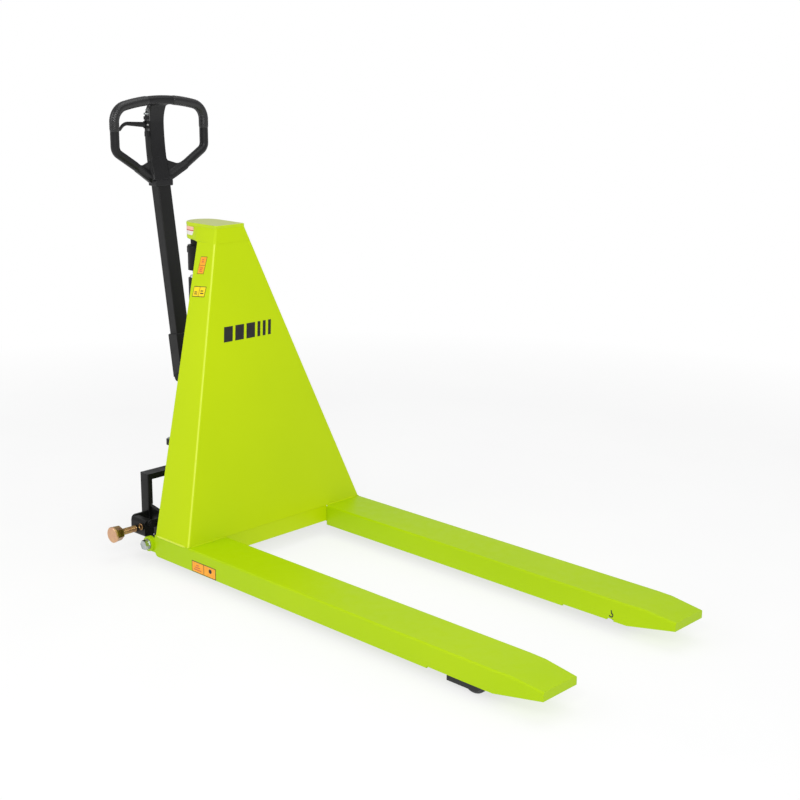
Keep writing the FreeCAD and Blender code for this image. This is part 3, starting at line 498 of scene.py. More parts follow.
def half_at(z):
    """Half the tower's width at a height."""
    return HALF_LOW - HALF_SLOPE * (z - FORK_TOP)


def front_at(z):
    """x of the panel's face at a height."""
    return HEEL - FRONT_SLOPE * (z - FORK_TOP)


def rear_at(z):
    """x of the flanges' rear edges at a height."""
    return REAR_LOW + (REAR_HIGH - REAR_LOW) * (z - FORK_TOP) / (TOWER_TOP - FORK_TOP)


def folded_section(z, inset, steps=8):
    """Plan outline of the folded sheet at a height: flange, bend, panel, bend, flange."""
    half, front = half_at(z) - inset, front_at(z) - inset
    radius = BEND - inset
    points = [Vector((rear_at(z), -half, z))]
    for side in (-1, 1):
        centre = Vector((front - radius, side * (half - radius), z))
        turn = [math.pi / 2 * i / steps for i in range(steps + 1)]
        if side == 1:
            turn.reverse()
        for angle in turn:
            points.append(centre + Vector((math.sin(angle), side * math.cos(angle), 0)) * radius)
    points.append(Vector((rear_at(z), half, z)))
    return points


def tower_shell():
    """The panel and both flanges as the one folded sheet that they are."""
    heights = (FORK_TOP, FORK_TOP + 0.25, FORK_TOP + 0.5, TOWER_TOP - 1 * MM)
    rings = [folded_section(z, 0) + folded_section(z, SHEET)[::-1] for z in heights]
    shell = new_piece("tower_shell", bridge(rings), "lime_paint", "fork_frame")
    shell.data.materials.append(LOOKS["bend_highlight_paint"])
    # Faces on the bends take the paler lime: a painted highlight.
    for face in shell.data.polygons:
        on_painted_highlight = face.normal.x > 0.35 and abs(face.normal.y) > 0.5
        face.material_index = int(on_painted_highlight)
    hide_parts("tower_panel", "flange_right", "flange_left")
    bevelled(shell, 0.7 * MM)


def cap_outline(z, inset, steps=20):
    """Plan outline of the hooked head: the tower's section, drawn in to a round rear end."""
    half, front = half_at(z), front_at(z)
    centre_x = CAP_LOW.x + HEAD_RADIUS
    rear = HEAD_RADIUS - inset
    side = []
    for i in range(7):
        angle = math.pi / 2 * i / 6
        side.append((front - BEND + BEND * math.cos(angle), half - BEND + BEND * math.sin(angle)))
    for i in range(1, 9):
        share = i / 8
        ease = share * share * (3 - 2 * share)
        x = REAR_HIGH + (centre_x - REAR_HIGH) * share
        width = half + (HEAD_RADIUS - half) * ease
        side.append((x, width - inset * min(1.0, 3 * share)))
    for i in range(1, steps):
        angle = math.pi / 2 * (1 + i / steps)
        side.append((centre_x + rear * math.cos(angle), rear * math.sin(angle)))
    tail = [Vector((centre_x - rear, 0, z))]
    right = [Vector((x, -y, z)) for x, y in side]
    left = [Vector((x, y, z)) for x, y in reversed(side)]
    return right + tail + left


def head_cap():
    """The pressed head; its lower rim is rolled in where it overhangs the ram."""
    roll = 5 * MM
    low = TOWER_TOP - 2 * MM
    rings = []
    for i in range(6):
        angle = math.pi / 2 * i / 5
        rings.append(cap_outline(low + roll * (1 - math.cos(angle)), roll * (1 - math.sin(angle))))
    rings.append(cap_outline(CAP_HIGH.z, 0))
    cap = new_piece("head_shell", bridge(rings), "lime_paint", "fork_frame", 50)
    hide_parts("head_cap")


def weld_bead(name, start, end, radius, look="lime_paint"):
    """A rippled weld bead along a straight seam."""
    start, end = Vector(start), Vector(end)
    length = (end - start).length
    along = (end - start).normalized()
    side = along.orthogonal().normalized()
    other = along.cross(side)
    ripple = 5 * MM
    count = max(4, int(length / (ripple / 4)))
    path = [start + along * (length * i / count) for i in range(count + 1)]

    def radius_of(share, _):
        from_end = min(share, 1 - share) * length
        ends = min(1.0, 8 * from_end / 0.1 + 0.25)
        wave = 1 + 0.13 * math.sin(math.tau * share * length / ripple)
        return radius * ends * wave, radius * ends * wave

    rings = swept(path, [(side, other)] * len(path), radius_of, 10)
    new_piece(name, bridge(rings), look, "fork_frame", 60)


def tower_welds():
    seat = FORK_TOP + 0.2 * MM
    for name, side in SIDES:
        y = side * (half_at(seat) + 0.3 * MM)
        # The flange welds take the paler lime: a painted highlight along the seam.
        weld_bead(f"flange_weld_{name}", (rear_at(seat) + 4 * MM, y, seat), (HEEL - 12 * MM, y, seat),
                  2.6 * MM, "weld_highlight_paint")
        x = HEEL + 0.4 * MM
        outer, inner = side * (HALF_LOW - 10 * MM), side * (HALF_LOW - 128 * MM)
        weld_bead(f"panel_weld_{name}", (x, outer, seat), (x, inner, seat), 2.4 * MM)


# ---------------------------------------------------------------- markings

STICKER_RISE = 0.09


def flange_sticker(name, x_range, z_range, look, layer=0):
    """A sticker on the right-hand flange, its front end a little higher than its rear."""
    rise = STICKER_RISE * (x_range[0] - (HEEL - 199 * MM))
    z0, z1 = z_range[0] + rise, z_range[1] + rise
    lift = (0.15 + 0.18 * layer) * MM
    low = Vector((x_range[0], -half_at(z0), z0))
    up = Vector((0, half_at(z0) - half_at(z1), z1 - z0))
    length = x_range[1] - x_range[0]
    along = Vector((length, HALF_SLOPE * STICKER_RISE * length, STICKER_RISE * length))
    out = along.cross(up).normalized()
    decal(name, low + out * (lift - 0.1 * MM), along, up, look)


def wall_sticker(name, x_range, z_range, look, layer=0):
    """A sticker on the right-hand fork's outer wall."""
    corner = (x_range[0], -HALF_LOW - (0.05 + 0.18 * layer) * MM, z_range[0])
    decal(name, corner, (x_range[1] - x_range[0], 0, 0), (0, 0, z_range[1] - z_range[0]), look)


def framed_cells(name, sticker, x_range, z_range, cells, edge, look, across):
    """A sticker with a dark border and dark lines between its cells."""
    x0, x1 = x_range
    z0, z1 = z_range
    sticker(name + "_border", x_range, z_range, "dark_vinyl")
    start, end = x_range if across else z_range
    step = (end - start - edge) / cells
    for i in range(cells):
        span = (start + edge + i * step, start + (i + 1) * step)
        x_span = span if across else (x0 + edge, x1 - edge)
        z_span = (z0 + edge, z1 - edge) if across else span
        sticker(f"{name}_cell{i}", x_span, z_span, look, 1)


def mark_rows(name, sticker, corner, x_range, z_range, rows, look="dark_vinyl"):
    """A few short plain bars where a label would carry its message; ranges in mm from its corner."""
    x0, x1 = (corner[0] + value * MM for value in x_range)
    z0, z1 = (corner[1] + value * MM for value in z_range)
    pitch = (z1 - z0) / rows
    for i in range(rows):
        shorter = (x1 - x0) * (0.22 if i % 2 else 0.0)
        sticker(f"{name}{i}", (x0, x1 - shorter), (z0 + i * pitch, z0 + (i + 0.45) * pitch), look, 2)


def flange_stickers():
    """Two plain stickers near the top of the right-hand flange."""
    x = (HEEL - 213 * MM, HEEL - 187 * MM)
    z = (751 * MM, 796 * MM)
    framed_cells("upper_sticker", flange_sticker, x, z, 2, 1.1 * MM, "orange_vinyl", False)
    corner = (x[0], z[0])
    mark_rows("upper_mark", flange_sticker, corner, (7, 19), (6, 19), 3, "red_vinyl")
    mark_rows("upper_dash", flange_sticker, corner, (9, 17), (30, 41), 2, "red_vinyl")
    x = (HEEL - 212 * MM, HEEL - 163 * MM)
    z = (692 * MM, 719 * MM)
    framed_cells("lower_sticker", flange_sticker, x, z, 2, 1.6 * MM, "yellow_vinyl", True)
    corner = (x[0], z[0])
    mark_rows("lower_mark", flange_sticker, corner, (6, 19), (6, 16), 2)
    mark_rows("lower_dash", flange_sticker, corner, (30, 43), (8, 20), 2)


def fork_sticker():
    """A two-cell sticker by the heel of the right-hand fork; a disc fills its second cell."""
    x = (HEEL + 14 * MM, HEEL + 110 * MM)
    z = (28 * MM, 58 * MM)
    framed_cells("fork_sticker", wall_sticker, x, z, 2, 1.8 * MM, "orange_vinyl", True)
    for i in range(3):
        inset = (8 + 5 * i) * MM
        bar = (z[0] + (7 + 6 * i) * MM, z[0] + (9.4 + 6 * i) * MM)
        wall_sticker(f"fork_mark{i}", (x[0] + inset, x[0] + 46 * MM - inset), bar, "red_vinyl", 2)
    centre = (x[0] + 74 * MM, -HALF_LOW - 0.3 * MM, z[0] + 18 * MM)
    lathe("fork_disc", centre, (0, -1, 0), [(0, 6), (0.2, 6)], "dark_vinyl", "fork_frame")


def panel_mark():
    """Slanted bars on the front panel: a plain lift mark with no lettering."""
    low, high = 577 * MM, 616 * MM
    up = Vector((front_at(high) - front_at(low), 0, high - low))
    out = Vector((0, 1, 0)).cross(up).normalized()
    lean = Vector((0, 9 * MM, 0))
    gap = 9
    y = -86 * MM
    for i, width in enumerate((30, 30, 30, 10, 10, 10)):
        corner = Vector((front_at(low), y, low)) + out * 0.1 * MM
        decal(f"panel_bar{i}", corner, (0, width * MM, 0), up + lean, "dark_vinyl")
        y += (width + gap) * MM


def head_label():
    """The wrapped label on the head's rear right-hand corner."""
    radius = HEAD_RADIUS + 0.25 * MM
    inner = radius - 0.3 * MM
    centre = Vector((CAP_LOW.x + HEAD_RADIUS, 0, 0))
    bands = (("lower", 843, 854, "pale_vinyl"), ("line", 854, 857, "red_vinyl"),
             ("upper", 857, 866, "rose_vinyl"))
    for part, low, high, look in bands:
        rings = []
        for i in range(14):
            angle = math.radians(-90 - 64 * max(0, i - 1) / 12)
            way = Vector((math.cos(angle), math.sin(angle), 0))
            if i == 0:
                way += Vector((0.28, -0.026, 0))
            corners = ((radius, low), (radius, high), (inner, high), (inner, low))
            rings.append([centre + way * reach + Vector((0, 0, z * MM)) for reach, z in corners])
        new_piece(f"head_label_{part}", bridge(rings), look, "fork_frame")


def far_wall_mark():
    """A small curled paint mark on the inner wall of the left-hand fork, above its drain notch."""
    y = HALF_LOW - 128 * MM - 0.2 * MM
    x, z = HEEL + 977 * MM, 40 * MM
    curl = 5 * MM
    centre_line = []
    for i in range(12):
        angle = math.radians(200 + 250 * i / 11)
        centre_line.append(Vector((x + curl * math.cos(angle), y, z + 6 * MM + curl * math.sin(angle))))
    for i in range(6):
        centre_line.append(Vector((x + (2 - 2.4 * i / 5) * MM, y, z + (9 + 9 * i / 5) * MM)))
    rings = swept(centre_line, flat_frames(centre_line, (0, 1, 0)), lambda *_: (1.5 * MM, 0.3 * MM), 8)
    new_piece("far_wall_mark", bridge(rings), "dark_vinyl", "fork_frame")


# ---------------------------------------------------------------- handle

LOOP_LOW, LOOP_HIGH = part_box("handle_loop")
SPINE_LOW, SPINE_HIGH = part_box("handle_spine")
GRIP = 12.7 * MM
LOOP_X = (LOOP_LOW.x + LOOP_HIGH.x) / 2
LOOP_HALF = LOOP_HIGH.y - GRIP
LOOP_TOP = LOOP_HIGH.z - GRIP
CROWN, SHOULDER, CORNER = 516 * MM, 45 * MM, 26 * MM
FOOT = Vector((20 * MM, 972 * MM))
LOW_CORNER = Vector((LOOP_HALF, 1058 * MM))


def arc(centre, radius, start, end):
    """Points (y, z) along an arc, angles in radians, about 1.5 mm apart."""
    count = max(2, int(abs(end - start) * radius / (1.5 * MM)))
    return [centre + Vector((math.cos(a), math.sin(a))) * radius
            for a in (start + (end - start) * i / count for i in range(count + 1))]


def loop_line():
    """The left half of the loop's centre line as (y, z) points, from its foot to the crown."""
    crown_centre = Vector((0, LOOP_TOP - CROWN))
    across = LOOP_HALF - SHOULDER
    rise = math.sqrt((CROWN - SHOULDER) ** 2 - across ** 2)
    shoulder_centre = crown_centre + Vector((across, rise))
    crown_angle = math.atan2(rise, across)
    back = (FOOT - LOW_CORNER).normalized()
    up = Vector((0, 1))
    half_turn = (math.pi - back.angle(up)) / 2
    run = CORNER * math.tan(half_turn)
    centre = LOW_CORNER + Vector((-CORNER, run))
    diagonal_end = LOW_CORNER + back * run
    turn_start = math.atan2(diagonal_end.y - centre.y, diagonal_end.x - centre.x)
    line = [FOOT + (diagonal_end - FOOT) * i / 60 for i in range(60)]
    line += arc(centre, CORNER, turn_start, 0)
    upright = shoulder_centre.y - centre.y
    line += [Vector((LOOP_HALF, centre.y + upright * i / 40)) for i in range(1, 40)]
    line += arc(shoulder_centre, SHOULDER, 0, crown_angle)
    line += arc(crown_centre, CROWN, crown_angle, math.pi / 2)[1:]
    return line


def smooth_min(first, second, blend):
    """The lesser of two distances, with a fillet of about that radius where they meet."""
    share = np.clip(0.5 + 0.5 * (second - first) / blend, 0, 1)
    return second + (first - second) * share - blend * share * (1 - share)


def smooth_max(first, second, blend):
    return -smooth_min(-first, -second, blend)


def limb_field(x, across, z):
    """Signed distance to the loop and its two webs; the foot of the loop runs behind the spine."""
    setback, slimming, web_half, fillet, web_slant = 12 * MM, 1.5 * MM, 4 * MM, 2 * MM, 0.85
    in_plane = np.full(across[0].shape, 1.0)
    for line_y, line_z in loop_line():
        in_plane = np.minimum(in_plane, np.hypot(across[0] - line_y, z[0] - line_z))
    near_spine = np.clip((84 * MM - across) / (50 * MM), 0, 1)
    low_down = np.clip((1.1 - z) / 0.05, 0, 1)
    behind = near_spine * low_down
    loop_x = LOOP_X - behind * setback
    loop = np.sqrt((in_plane[None, :, :] * 1.04) ** 2 + (x - loop_x) ** 2) - GRIP + behind * slimming
    web_top = 1.028 - (across - 26 * MM) * 0.34
    web_low = 0.962 + (across - 20 * MM) * 0.66
    web = smooth_max(np.abs(x - loop_x) - web_half, (z - web_top) * web_slant, fillet)
    web = smooth_max(web, (web_low - z) * web_slant, fillet)
    web = np.maximum(web, across - 82 * MM)
    return smooth_min(loop, web, 10 * MM)


def bow(low, crest, top, height):
    """x of a face of the spine at a height; its low, crest and top places are metres behind the heel."""
    crest_z = 1.13
    down = ((crest_z - height) / (crest_z - SPINE_LOW.z)) ** 2
    above = ((height - crest_z) / (LOOP_TOP - crest_z)) ** 2
    end, share = np.where(height < crest_z, low, top), np.where(height < crest_z, down, above)
    return HEEL - crest - (end - crest) * share


def spine_field(x, across, z):
    """Signed distance to the bowed spine, with a crease either side of its middle low down."""
    front = bow(0.466, 0.489, 0.466, z)
    back = bow(0.493, 0.512, 0.485, z)
    half = 26.5 * MM
    spine = smooth_max(smooth_max(x - front, back - x, 5 * MM), across - half, 4 * MM)
    crease_at, crease_half, crease_depth = 9 * MM, 2 * MM, 0.6 * MM
    crease = np.maximum(0, 1 - np.abs(across - crease_at) / crease_half) * np.clip((1.05 - z) / 0.05, 0, 1)
    spine = spine + crease * crease_depth * (x > (front + back) / 2)
    spine = smooth_max(spine, z - LOOP_TOP - 2 * MM, 4 * MM)
    return smooth_max(spine, SPINE_LOW.z - z, 1 * MM)


def handle_field(x, y, z):
    """Signed distance to the moulded handle: loop, webs, spine and collar, filleted together."""
    across = np.abs(y)
    blend = np.where(z < 1.1, 5 * MM, 8 * MM)
    whole = smooth_min(limb_field(x, across, z), spine_field(x, across, z), blend)
    whole = np.maximum(whole, SPINE_LOW.z + 3 * MM - z)
    collar_x, collar_z = HEEL - 478 * MM, SPINE_LOW.z + 3.5 * MM
    collar = smooth_max(np.abs(x - collar_x) - 19 * MM, across - 29 * MM, 3 * MM)
    collar = smooth_max(collar, np.abs(z - collar_z) - 8.5 * MM, 2 * MM)
    return smooth_min(whole, collar, 3 * MM)


def handle_body():
    """The one-piece handle moulding, meshed from its distance field."""
    voxel = 1.3 * MM
    margin = 4 * voxel
    low = Vector((min(LOOP_LOW.x, SPINE_LOW.x), LOOP_LOW.y, SPINE_LOW.z - 6 * MM)) - Vector((margin,) * 3)
    high = Vector((max(LOOP_HIGH.x, SPINE_HIGH.x), LOOP_HIGH.y, LOOP_HIGH.z)) + Vector((margin,) * 3)
    axes = [np.arange(low[i], high[i], voxel) for i in range(3)]
    grid = openvdb.FloatGrid()
    grid.copyFromArray(handle_field(*np.meshgrid(*axes, indexing="ij")).astype(np.float32))
    points, triangles, quads = grid.convertToPolygons(isovalue=0.0, adaptivity=0.0)
    surface = (points * voxel + np.array(low), quads.tolist() + triangles.tolist())
    moulding = new_piece("handle_moulding", surface, "black_plastic", "tiller", 180)
    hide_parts("handle_loop", "handle_spine")


def grip_sleeve(name, side):
    """The pebbled grip round an upper corner of the loop."""
    lowest, innermost = 1.112, 42 * MM
    line = [p for p in loop_line() if p.y > lowest and p.x > innermost]
    path = [Vector((LOOP_X, side * p.x, p.y)) for p in line]
    length = sum((b - a).length for a, b in zip(path, path[1:]))
    turns = 15

    def radius_of(share, angle):
        pitch = math.tau * GRIP / turns
        along = share * length / pitch * math.pi
        around = angle * turns / 2
        peak = abs(math.sin(along + around) * math.sin(along - around))
        ends = min(1.0, 30 * min(share, 1 - share))
        reach = GRIP + (0.2 + 1.15 * peak) * MM * ends
        return reach * 0.965, reach

    rings = swept(path, flat_frames(path, (1, 0, 0)), radius_of, 96)
    new_piece(name, bridge(rings), "grip_rubber", "tiller", 180)


BRACKET_LOW, BRACKET_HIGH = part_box("lever_bracket")
LEVER_ROOT = Vector((sum(corner.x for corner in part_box("control_lever")) / 2, -35 * MM, 1126 * MM))


def lever_line():
    """The control lever's centre line and headings: out and slightly up, then curling down."""
    rise, fall = math.radians(4.7), math.radians(-50)
    straight, bend_radius, tip = 62 * MM, 26 * MM, 13 * MM
    point = LEVER_ROOT.copy()
    total = straight + (rise - fall) * bend_radius + tip
    count = int(total / (2 * MM))
    line = [point.copy()]
    headings = []
    for i in range(count):
        travelled = (i + 0.5) * total / count
        turned = min(max(travelled - straight, 0) / bend_radius, rise - fall)
        angle = rise - turned
        heading = Vector((0, -math.cos(angle), math.sin(angle)))
        point = point + heading * (total / count)
        line.append(point.copy())
        headings.append(heading)
    headings.append(headings[-1])
    return line, headings


def control_lever():
    """The tapering finger lever, with its boss and cross pin."""
    out = Vector((1, 0, 0))
    line, headings = lever_line()
    frames = [(out, out.cross(heading)) for heading in headings]

    def radius_of(share, _):
        tip = math.sqrt(max(0.0, 1 - max(0.0, (share - 0.93) / 0.07) ** 2)) * 0.9 + 0.1
        tall = (7.6 - 3.6 * share) * MM * tip
        wide = (4.8 - 1.0 * share) * MM * tip
        return wide, tall

    rings = swept(line, frames, radius_of, 20)
    lever = new_piece("finger_lever", bridge(rings), "lever_plastic", "control_lever", 60)
    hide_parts("control_lever")
    lathe("lever_boss", LEVER_ROOT - out * 4.8 * MM, out, [(0, 5.2), (0.8, 6.8), (8.8, 6.8), (9.6, 5.2)],
          "lever_plastic", "control_lever")
    lathe("lever_pin", LEVER_ROOT - out * 8.2 * MM, out, [(0, 2.3), (0.5, 3), (15.9, 3), (16.4, 2.3)],
          "steel", "control_lever")


def bracket_fittings():
    """What sits on the lever's bracket: a bright strip, stops above and below, and a pin."""
    x = (BRACKET_LOW.x + BRACKET_HIGH.x) / 2
    plate = BRACKET_HIGH.y
    box_piece("bracket_strip", (x - 5 * MM, plate - 1.7 * MM, BRACKET_LOW.z + 66 * MM),
              (x + 5 * MM, plate + 1.2 * MM, BRACKET_HIGH.z + 36 * MM), "strip_steel", "tiller")
    for name, half, reach, low, high in (("upper", 5, 14, 1140, 1149), ("lower", 6, 12, 1094, 1108)):
        box_piece(f"lever_stop_{name}", (x - half * MM, plate - reach * MM, low * MM),
                  (x + half * MM, plate - 1 * MM, high * MM), "lever_plastic", "tiller")
    lathe("bracket_pin", (x, plate - 2 * MM, 1156 * MM), (0, -1, 0),
          [(0, 3.6), (9, 3.6), (10, 2.8), (13, 2.8), (13.6, 2)], "zinc_bolt", "tiller", 24)
    lathe("bracket_clip", (x, plate - 1 * MM, 1166 * MM), (0, -1, 0), [(0, 2.4), (8, 2.4), (8.6, 1.6)],
          "zinc_bolt", "tiller", 20)


# ---------------------------------------------------------------- stabilisers and rear end

def stabiliser_foot(name, side):
    """The levelling screw: machined disc, hexagon and cut thread, all in passivated zinc."""
    low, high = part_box(f"stabiliser_screw_{name}")
    x = (low.x + high.x) / 2
    z = (low.z + high.z) / 2
    root, reach = sorted((abs(low.y), abs(high.y)))
    body = f"stabiliser_{name}"
    pad = 21.4
    disc = [(0, pad - 1.2), (0.6, pad), (5.2, pad), (6.4, pad - 1.4),
            (6.5, pad - 5), (6.3, pad - 8), (6.5, 2)]
    foot = lathe(f"foot_disc_{name}", (x, side * (reach - 6.5 * MM), z), (0, side, 0), disc,
                 "pink_zinc", body, 64)
    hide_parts(f"stabiliser_screw_{name}")
    lathe(f"foot_hexagon_{name}", (x, side * (reach - 29 * MM), z), (0, side, 0),
          [(0, 15.5), (1.6, 19.6), (20.6, 21.0), (22.4, 18.2)], "gold_zinc", body, 60, 6)
    foot_thread(name, side, Vector((x, side * root, z)), reach - 28 * MM - root)


def spoke(reach, angle):
    """A vector of that length square to the Y axis."""
    return Vector((reach * math.cos(angle), 0, reach * math.sin(angle)))


def foot_thread(name, side, start, length):
    """The screw's cut thread, from its root outward."""
    pitch = 2.5 * MM
    rings = []
    steps = int(length / pitch * 6)
    for i in range(steps + 1):
        y = length * i / steps
        ring = []
        for k in range(30):
            angle = math.tau * k / 30
            phase = (y / pitch + k / 30) % 1.0
            ends = min(1.0, min(y, length - y) / (2 * MM))
            radius = (7.9 + 1.1 * ends * (1 - abs(2 * phase - 1))) * MM
            ring.append(start + Vector((0, side * y, 0)) + spoke(radius, angle))
        rings.append(ring)
    new_piece(f"foot_thread_{name}", bridge(rings), "gold_zinc", f"stabiliser_{name}", 60)


def stabiliser_block(name, side):
    """The pivoted block: dressed casting with a gold-plated ring bolt on its outer face."""
    node = f"stabiliser_block_{name}"
    dressed(node, 1.6 * MM, segments=3)
    low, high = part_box(node)
    face = max(abs(low.y), abs(high.y))
    body = f"stabiliser_{name}"
    centre = (high.x - 12 * MM, side * (face - 5 * MM), 91 * MM)
    lathe(f"ring_bolt_{name}", centre, (0, side, 0),
          [(0, 9.2), (5.6, 9.2), (6.6, 8), (6.6, 5.8), (5.4, 5.2), (5.2, 1)],
          "gold_zinc", body, 40)
    # A black hexagon sheet in the bolt's shallow recess stands for a deep socket: painted shade.
    lathe(f"painted_socket_shade_{name}", centre, (0, side, 0), [(5, 4.6), (5.7, 4.2)],
          "black_paint", body, 24, 6)


def hex_screw(name, base, way, size, body, look="zinc_bolt", height=None):
    """A hexagon-headed screw seen from outside: washer face and chamfered head; sizes in mm."""
    height = height or 0.64 * size
    washer = 1.12 * size
    lathe(name, base, way, [(-0.2, washer), (0.12 * size, washer), (0.121 * size, size),
          (height * 0.82, size), (height, 0.82 * size)], look, body, 48, 6)


def deck_fittings():
    """Screws that hold the pump on the steering deck, and the tank's filler cap and drain plug."""
    column_x = sum(corner.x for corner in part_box("cylinder_tube")) / 2
    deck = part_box("steer_column")[1].z
    for i, y in enumerate((34, -34)):
        hex_screw(f"deck_screw{i}", (column_x - 108 * MM, y * MM, deck), (0, 0, 1), 6.5, "steering")
    low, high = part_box("oil_tank")
    lathe("filler_cap", ((low.x + high.x) / 2, 18 * MM, high.z), (0, 0, 1),
          [(-0.2, 13), (3, 13), (3.2, 11.5), (11, 11), (12.4, 9), (12.6, 1)],
          "black_plastic", "steering", 12)
    hex_screw("drain_plug", (high.x, 0, low.z + 22 * MM), (1, 0, 0), 8, "steering")


def pump_fittings():
    """A valve plug on either side of the pump housing, and the relief valve on its rear."""
    low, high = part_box("pump_housing")
    sunk = 0.2 * MM
    for name, side in SIDES:
        base = (low.x + 24 * MM, side * (high.y - sunk), 292 * MM)
        hex_screw(f"valve_plug_{name}", base, (0, side, 0), 9, "steering")
    hex_screw("relief_valve", (low.x + sunk, 0, 287 * MM), (-1, 0, 0), 8, "steering", "black_paint", 34)


def return_spring():
    """The coil round the pump's plunger, which stands on the pump."""
    spring = shown("plunger_spring", NODES["return_spring"].data.copy())
    stands_for(spring, "return_spring", "pump_housing")
    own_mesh(spring)


def tyre_profile(width, radius):
    """(y, radius, depth of the edge grooves there) across a tyre with rounded shoulders."""
    shoulder = 6 * MM
    across = 14
    inner = radius - 15.8 * MM
    profile = [(-width / 2, inner, 0.0)]
    for i in range(across + 1):
        share = i / across
        short = max(0.0, shoulder - min(share, 1 - share) * width)
        drop = shoulder - math.sqrt(max(0.0, shoulder ** 2 - short ** 2))
        groove = 1.8 * MM if abs(share - 0.5) > 0.2 else 0.0
        profile.append(((share - 0.5) * width, radius - drop, groove))
    return profile + [(width / 2, inner, 0.0)]


def steering_wheel(name, side):
    """A steering tyre with grooved edges, and the bolts in its hub."""
    node = f"steer_tyre_{name}"
    body = f"steer_wheel_{name}"
    low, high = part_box(node)
    centre = (low + high) / 2
    width = high.y - low.y
    profile = tyre_profile(width, (high.z - low.z) / 2)
    around = 168
    rings = []
    for k in range(around):
        angle = math.tau * k / around
        grooved = k % 8 in (0, 1)
        rings.append([centre + Vector((0, y, 0)) + spoke(reach - grooved * groove, angle)
                      for y, reach, groove in profile])
    rings.append(rings[0])
    surface = bridge(rings, ends=False)
    tyre = new_piece(f"treaded_tyre_{name}", surface, "steer_tyre", body, 40)
    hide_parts(node)
    outer = Vector((centre.x, centre.y + side * (width / 2 - 8.2 * MM), centre.z))
    for i in range(5):
        hex_screw(f"hub_bolt_{name}{i}", outer + spoke(43 * MM, math.tau * i / 5), (0, side, 0), 5.4, body)


# ---------------------------------------------------------------- scene

def finished_copies():
    """CAD nodes whose sharp edges are broken."""
    widths = {
        "fork_right": 1.1, "fork_left": 1.1, "heel_plate": 0.8, "tower_beam": 1.2,
        "pivot_bolts": 0.9, "pivot_nuts": 0.9, "outer_arm_right": 1.2, "outer_arm_left": 1.2,
        "outer_arm_tie": 1.0, "inner_arm_right": 1.2, "inner_arm_left": 1.2, "inner_arm_tie": 1.0,
        "scissor_pins": 0.6, "roller_axles": 0.5, "load_wheel_axles": 0.8,
        "side_plate_right": 1.2, "side_plate_left": 1.2, "rear_hoop": 2.2, "base_axle": 1.0,
        "stabiliser_brackets": 0.8, "stabiliser_pins": 0.7, "steer_column": 1.2, "axle_bracket": 1.2,
        "steer_hub_right": 1.0, "steer_hub_left": 1.0, "pump_housing": 1.2, "cylinder_gland": 0.8,
        "tiller_clevis": 1.4, "tiller_pin": 1.0, "lever_bracket": 0.5, "oil_tank": 1.5,
    }
    for node, width in widths.items():
        dressed(node, width * MM)


def tower_pieces():
    tower_shell()
    head_cap()
    tower_welds()
    flange_stickers()
    fork_sticker()
    panel_mark()
    head_label()
    far_wall_mark()


def handle_pieces():
    handle_body()
    grip_sleeve("grip_right", -1)
    grip_sleeve("grip_left", 1)
    control_lever()
    bracket_fittings()


def rear_pieces():
    for name, side in SIDES:
        stabiliser_foot(name, side)
        stabiliser_block(name, side)
    deck_fittings()
    pump_fittings()
    return_spring()
    for name, side in SIDES:
        steering_wheel(name, side)


def add_floor():
    """A floor disc that fades to the backdrop's white."""
    around = 96
    turns = [math.tau * i / around for i in range(around)]
    rings = [[(reach * math.cos(angle), reach * math.sin(angle), 0) for angle in turns]
             for reach in (14.0, 7.0, 3.5)]
    points, faces = bridge(rings, ends=False)
    faces.append(tuple(range(2 * around, 3 * around)))
    mesh = bpy.data.meshes.new("floor")
    mesh.from_pydata(points, [], faces)
    mesh.materials.append(floor_paint(3.2).data)
    shown("floor", mesh)


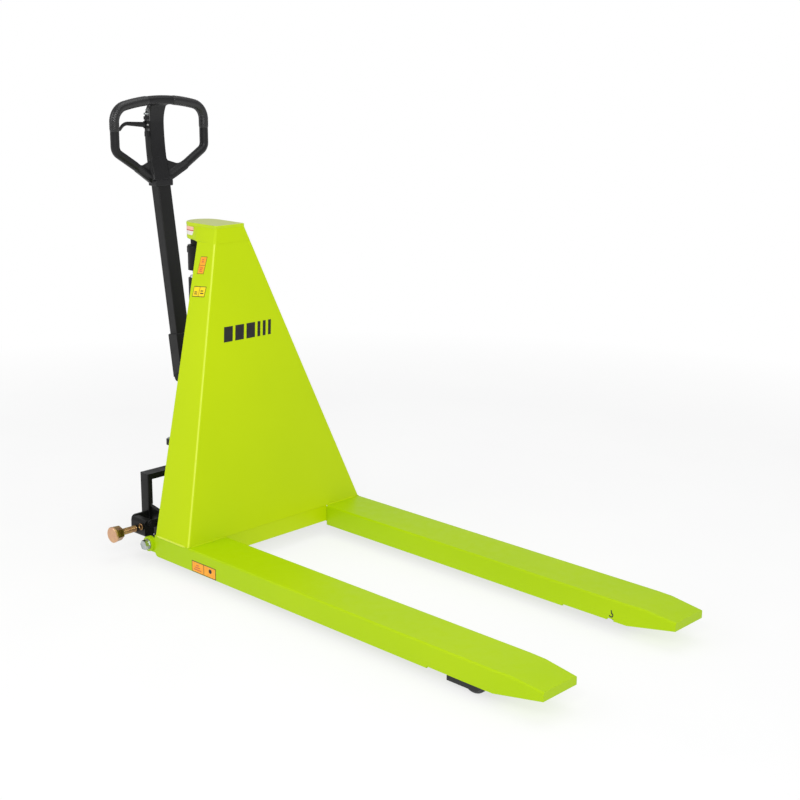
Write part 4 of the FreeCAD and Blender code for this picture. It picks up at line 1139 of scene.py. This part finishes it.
def add_world():
    """White to the eye; an even, softer grey as light."""
    world = bpy.data.worlds.new("studio")
    bpy.context.scene.world = world
    world.use_nodes = True
    tree = world.node_tree
    light = tree.nodes["Background"]
    light.inputs["Color"].default_value = (1, 1, 1, 1)
    light.inputs["Strength"].default_value = 0.56
    seen = tree.nodes.new("ShaderNodeBackground")
    seen.inputs["Color"].default_value = (1, 1, 1, 1)
    seen.inputs["Strength"].default_value = 1.0
    path = tree.nodes.new("ShaderNodeLightPath")
    mix = tree.nodes.new("ShaderNodeMixShader")
    tree.links.new(path.outputs["Is Camera Ray"], mix.inputs["Fac"])
    tree.links.new(light.outputs["Background"], mix.inputs[1])
    tree.links.new(seen.outputs["Background"], mix.inputs[2])
    tree.links.new(mix.outputs["Shader"], tree.nodes["World Output"].inputs["Surface"])


def add_softbox(name, place, target, size, power):
    light = bpy.data.lights.new(name, "AREA")
    light.shape = "RECTANGLE"
    light.size, light.size_y = size
    light.energy = power
    lamp = shown(name, light)
    lamp.location = place
    lamp.rotation_euler = (Vector(target) - Vector(place)).to_track_quat("-Z", "Y").to_euler()


def add_lights():
    aim = (-0.1, 0, 0.35)
    add_softbox("key_left", (-1.6, -3.4, 2.6), aim, (2.4, 2.0), 32)
    add_softbox("fill_front", (3.2, -2.2, 2.8), aim, (2.2, 2.2), 58)
    add_softbox("top", (0.2, 0.4, 4.2), aim, (3.0, 3.0), 38)
    add_softbox("glint", (1.6, -2.6, 2.3), aim, (0.4, 0.4), 11)


def add_camera():
    """The product shot's camera: front right, a little above, with its level slightly off."""
    azimuth, elevation, roll = math.radians(42.95), math.radians(14.51), math.radians(0.71)
    focal_pixels, frame_pixels = 1396, 800
    right = Vector((math.cos(azimuth), math.sin(azimuth), 0))
    back = Vector((math.sin(azimuth) * math.cos(elevation), -math.cos(azimuth) * math.cos(elevation),
                   math.sin(elevation)))
    up = back.cross(right)
    axis_x = right * math.cos(roll) + up * math.sin(roll)
    axis_y = up * math.cos(roll) - right * math.sin(roll)
    data = bpy.data.cameras.new("camera")
    data.sensor_width = 36
    data.lens = data.sensor_width * focal_pixels / frame_pixels
    data.shift_x, data.shift_y = -0.01125, 0.00125
    camera = shown("camera", data)
    turn = Matrix((axis_x, axis_y, back)).transposed().to_4x4()
    camera.matrix_world = Matrix.Translation((2.4024, -2.4050, 1.3621)) @ turn
    bpy.context.scene.camera = camera


bpy.context.scene.view_settings.view_transform = "Standard"
finish_nodes()
finished_copies()
tower_pieces()
handle_pieces()
rear_pieces()
add_floor()
add_world()
add_lights()
add_camera()
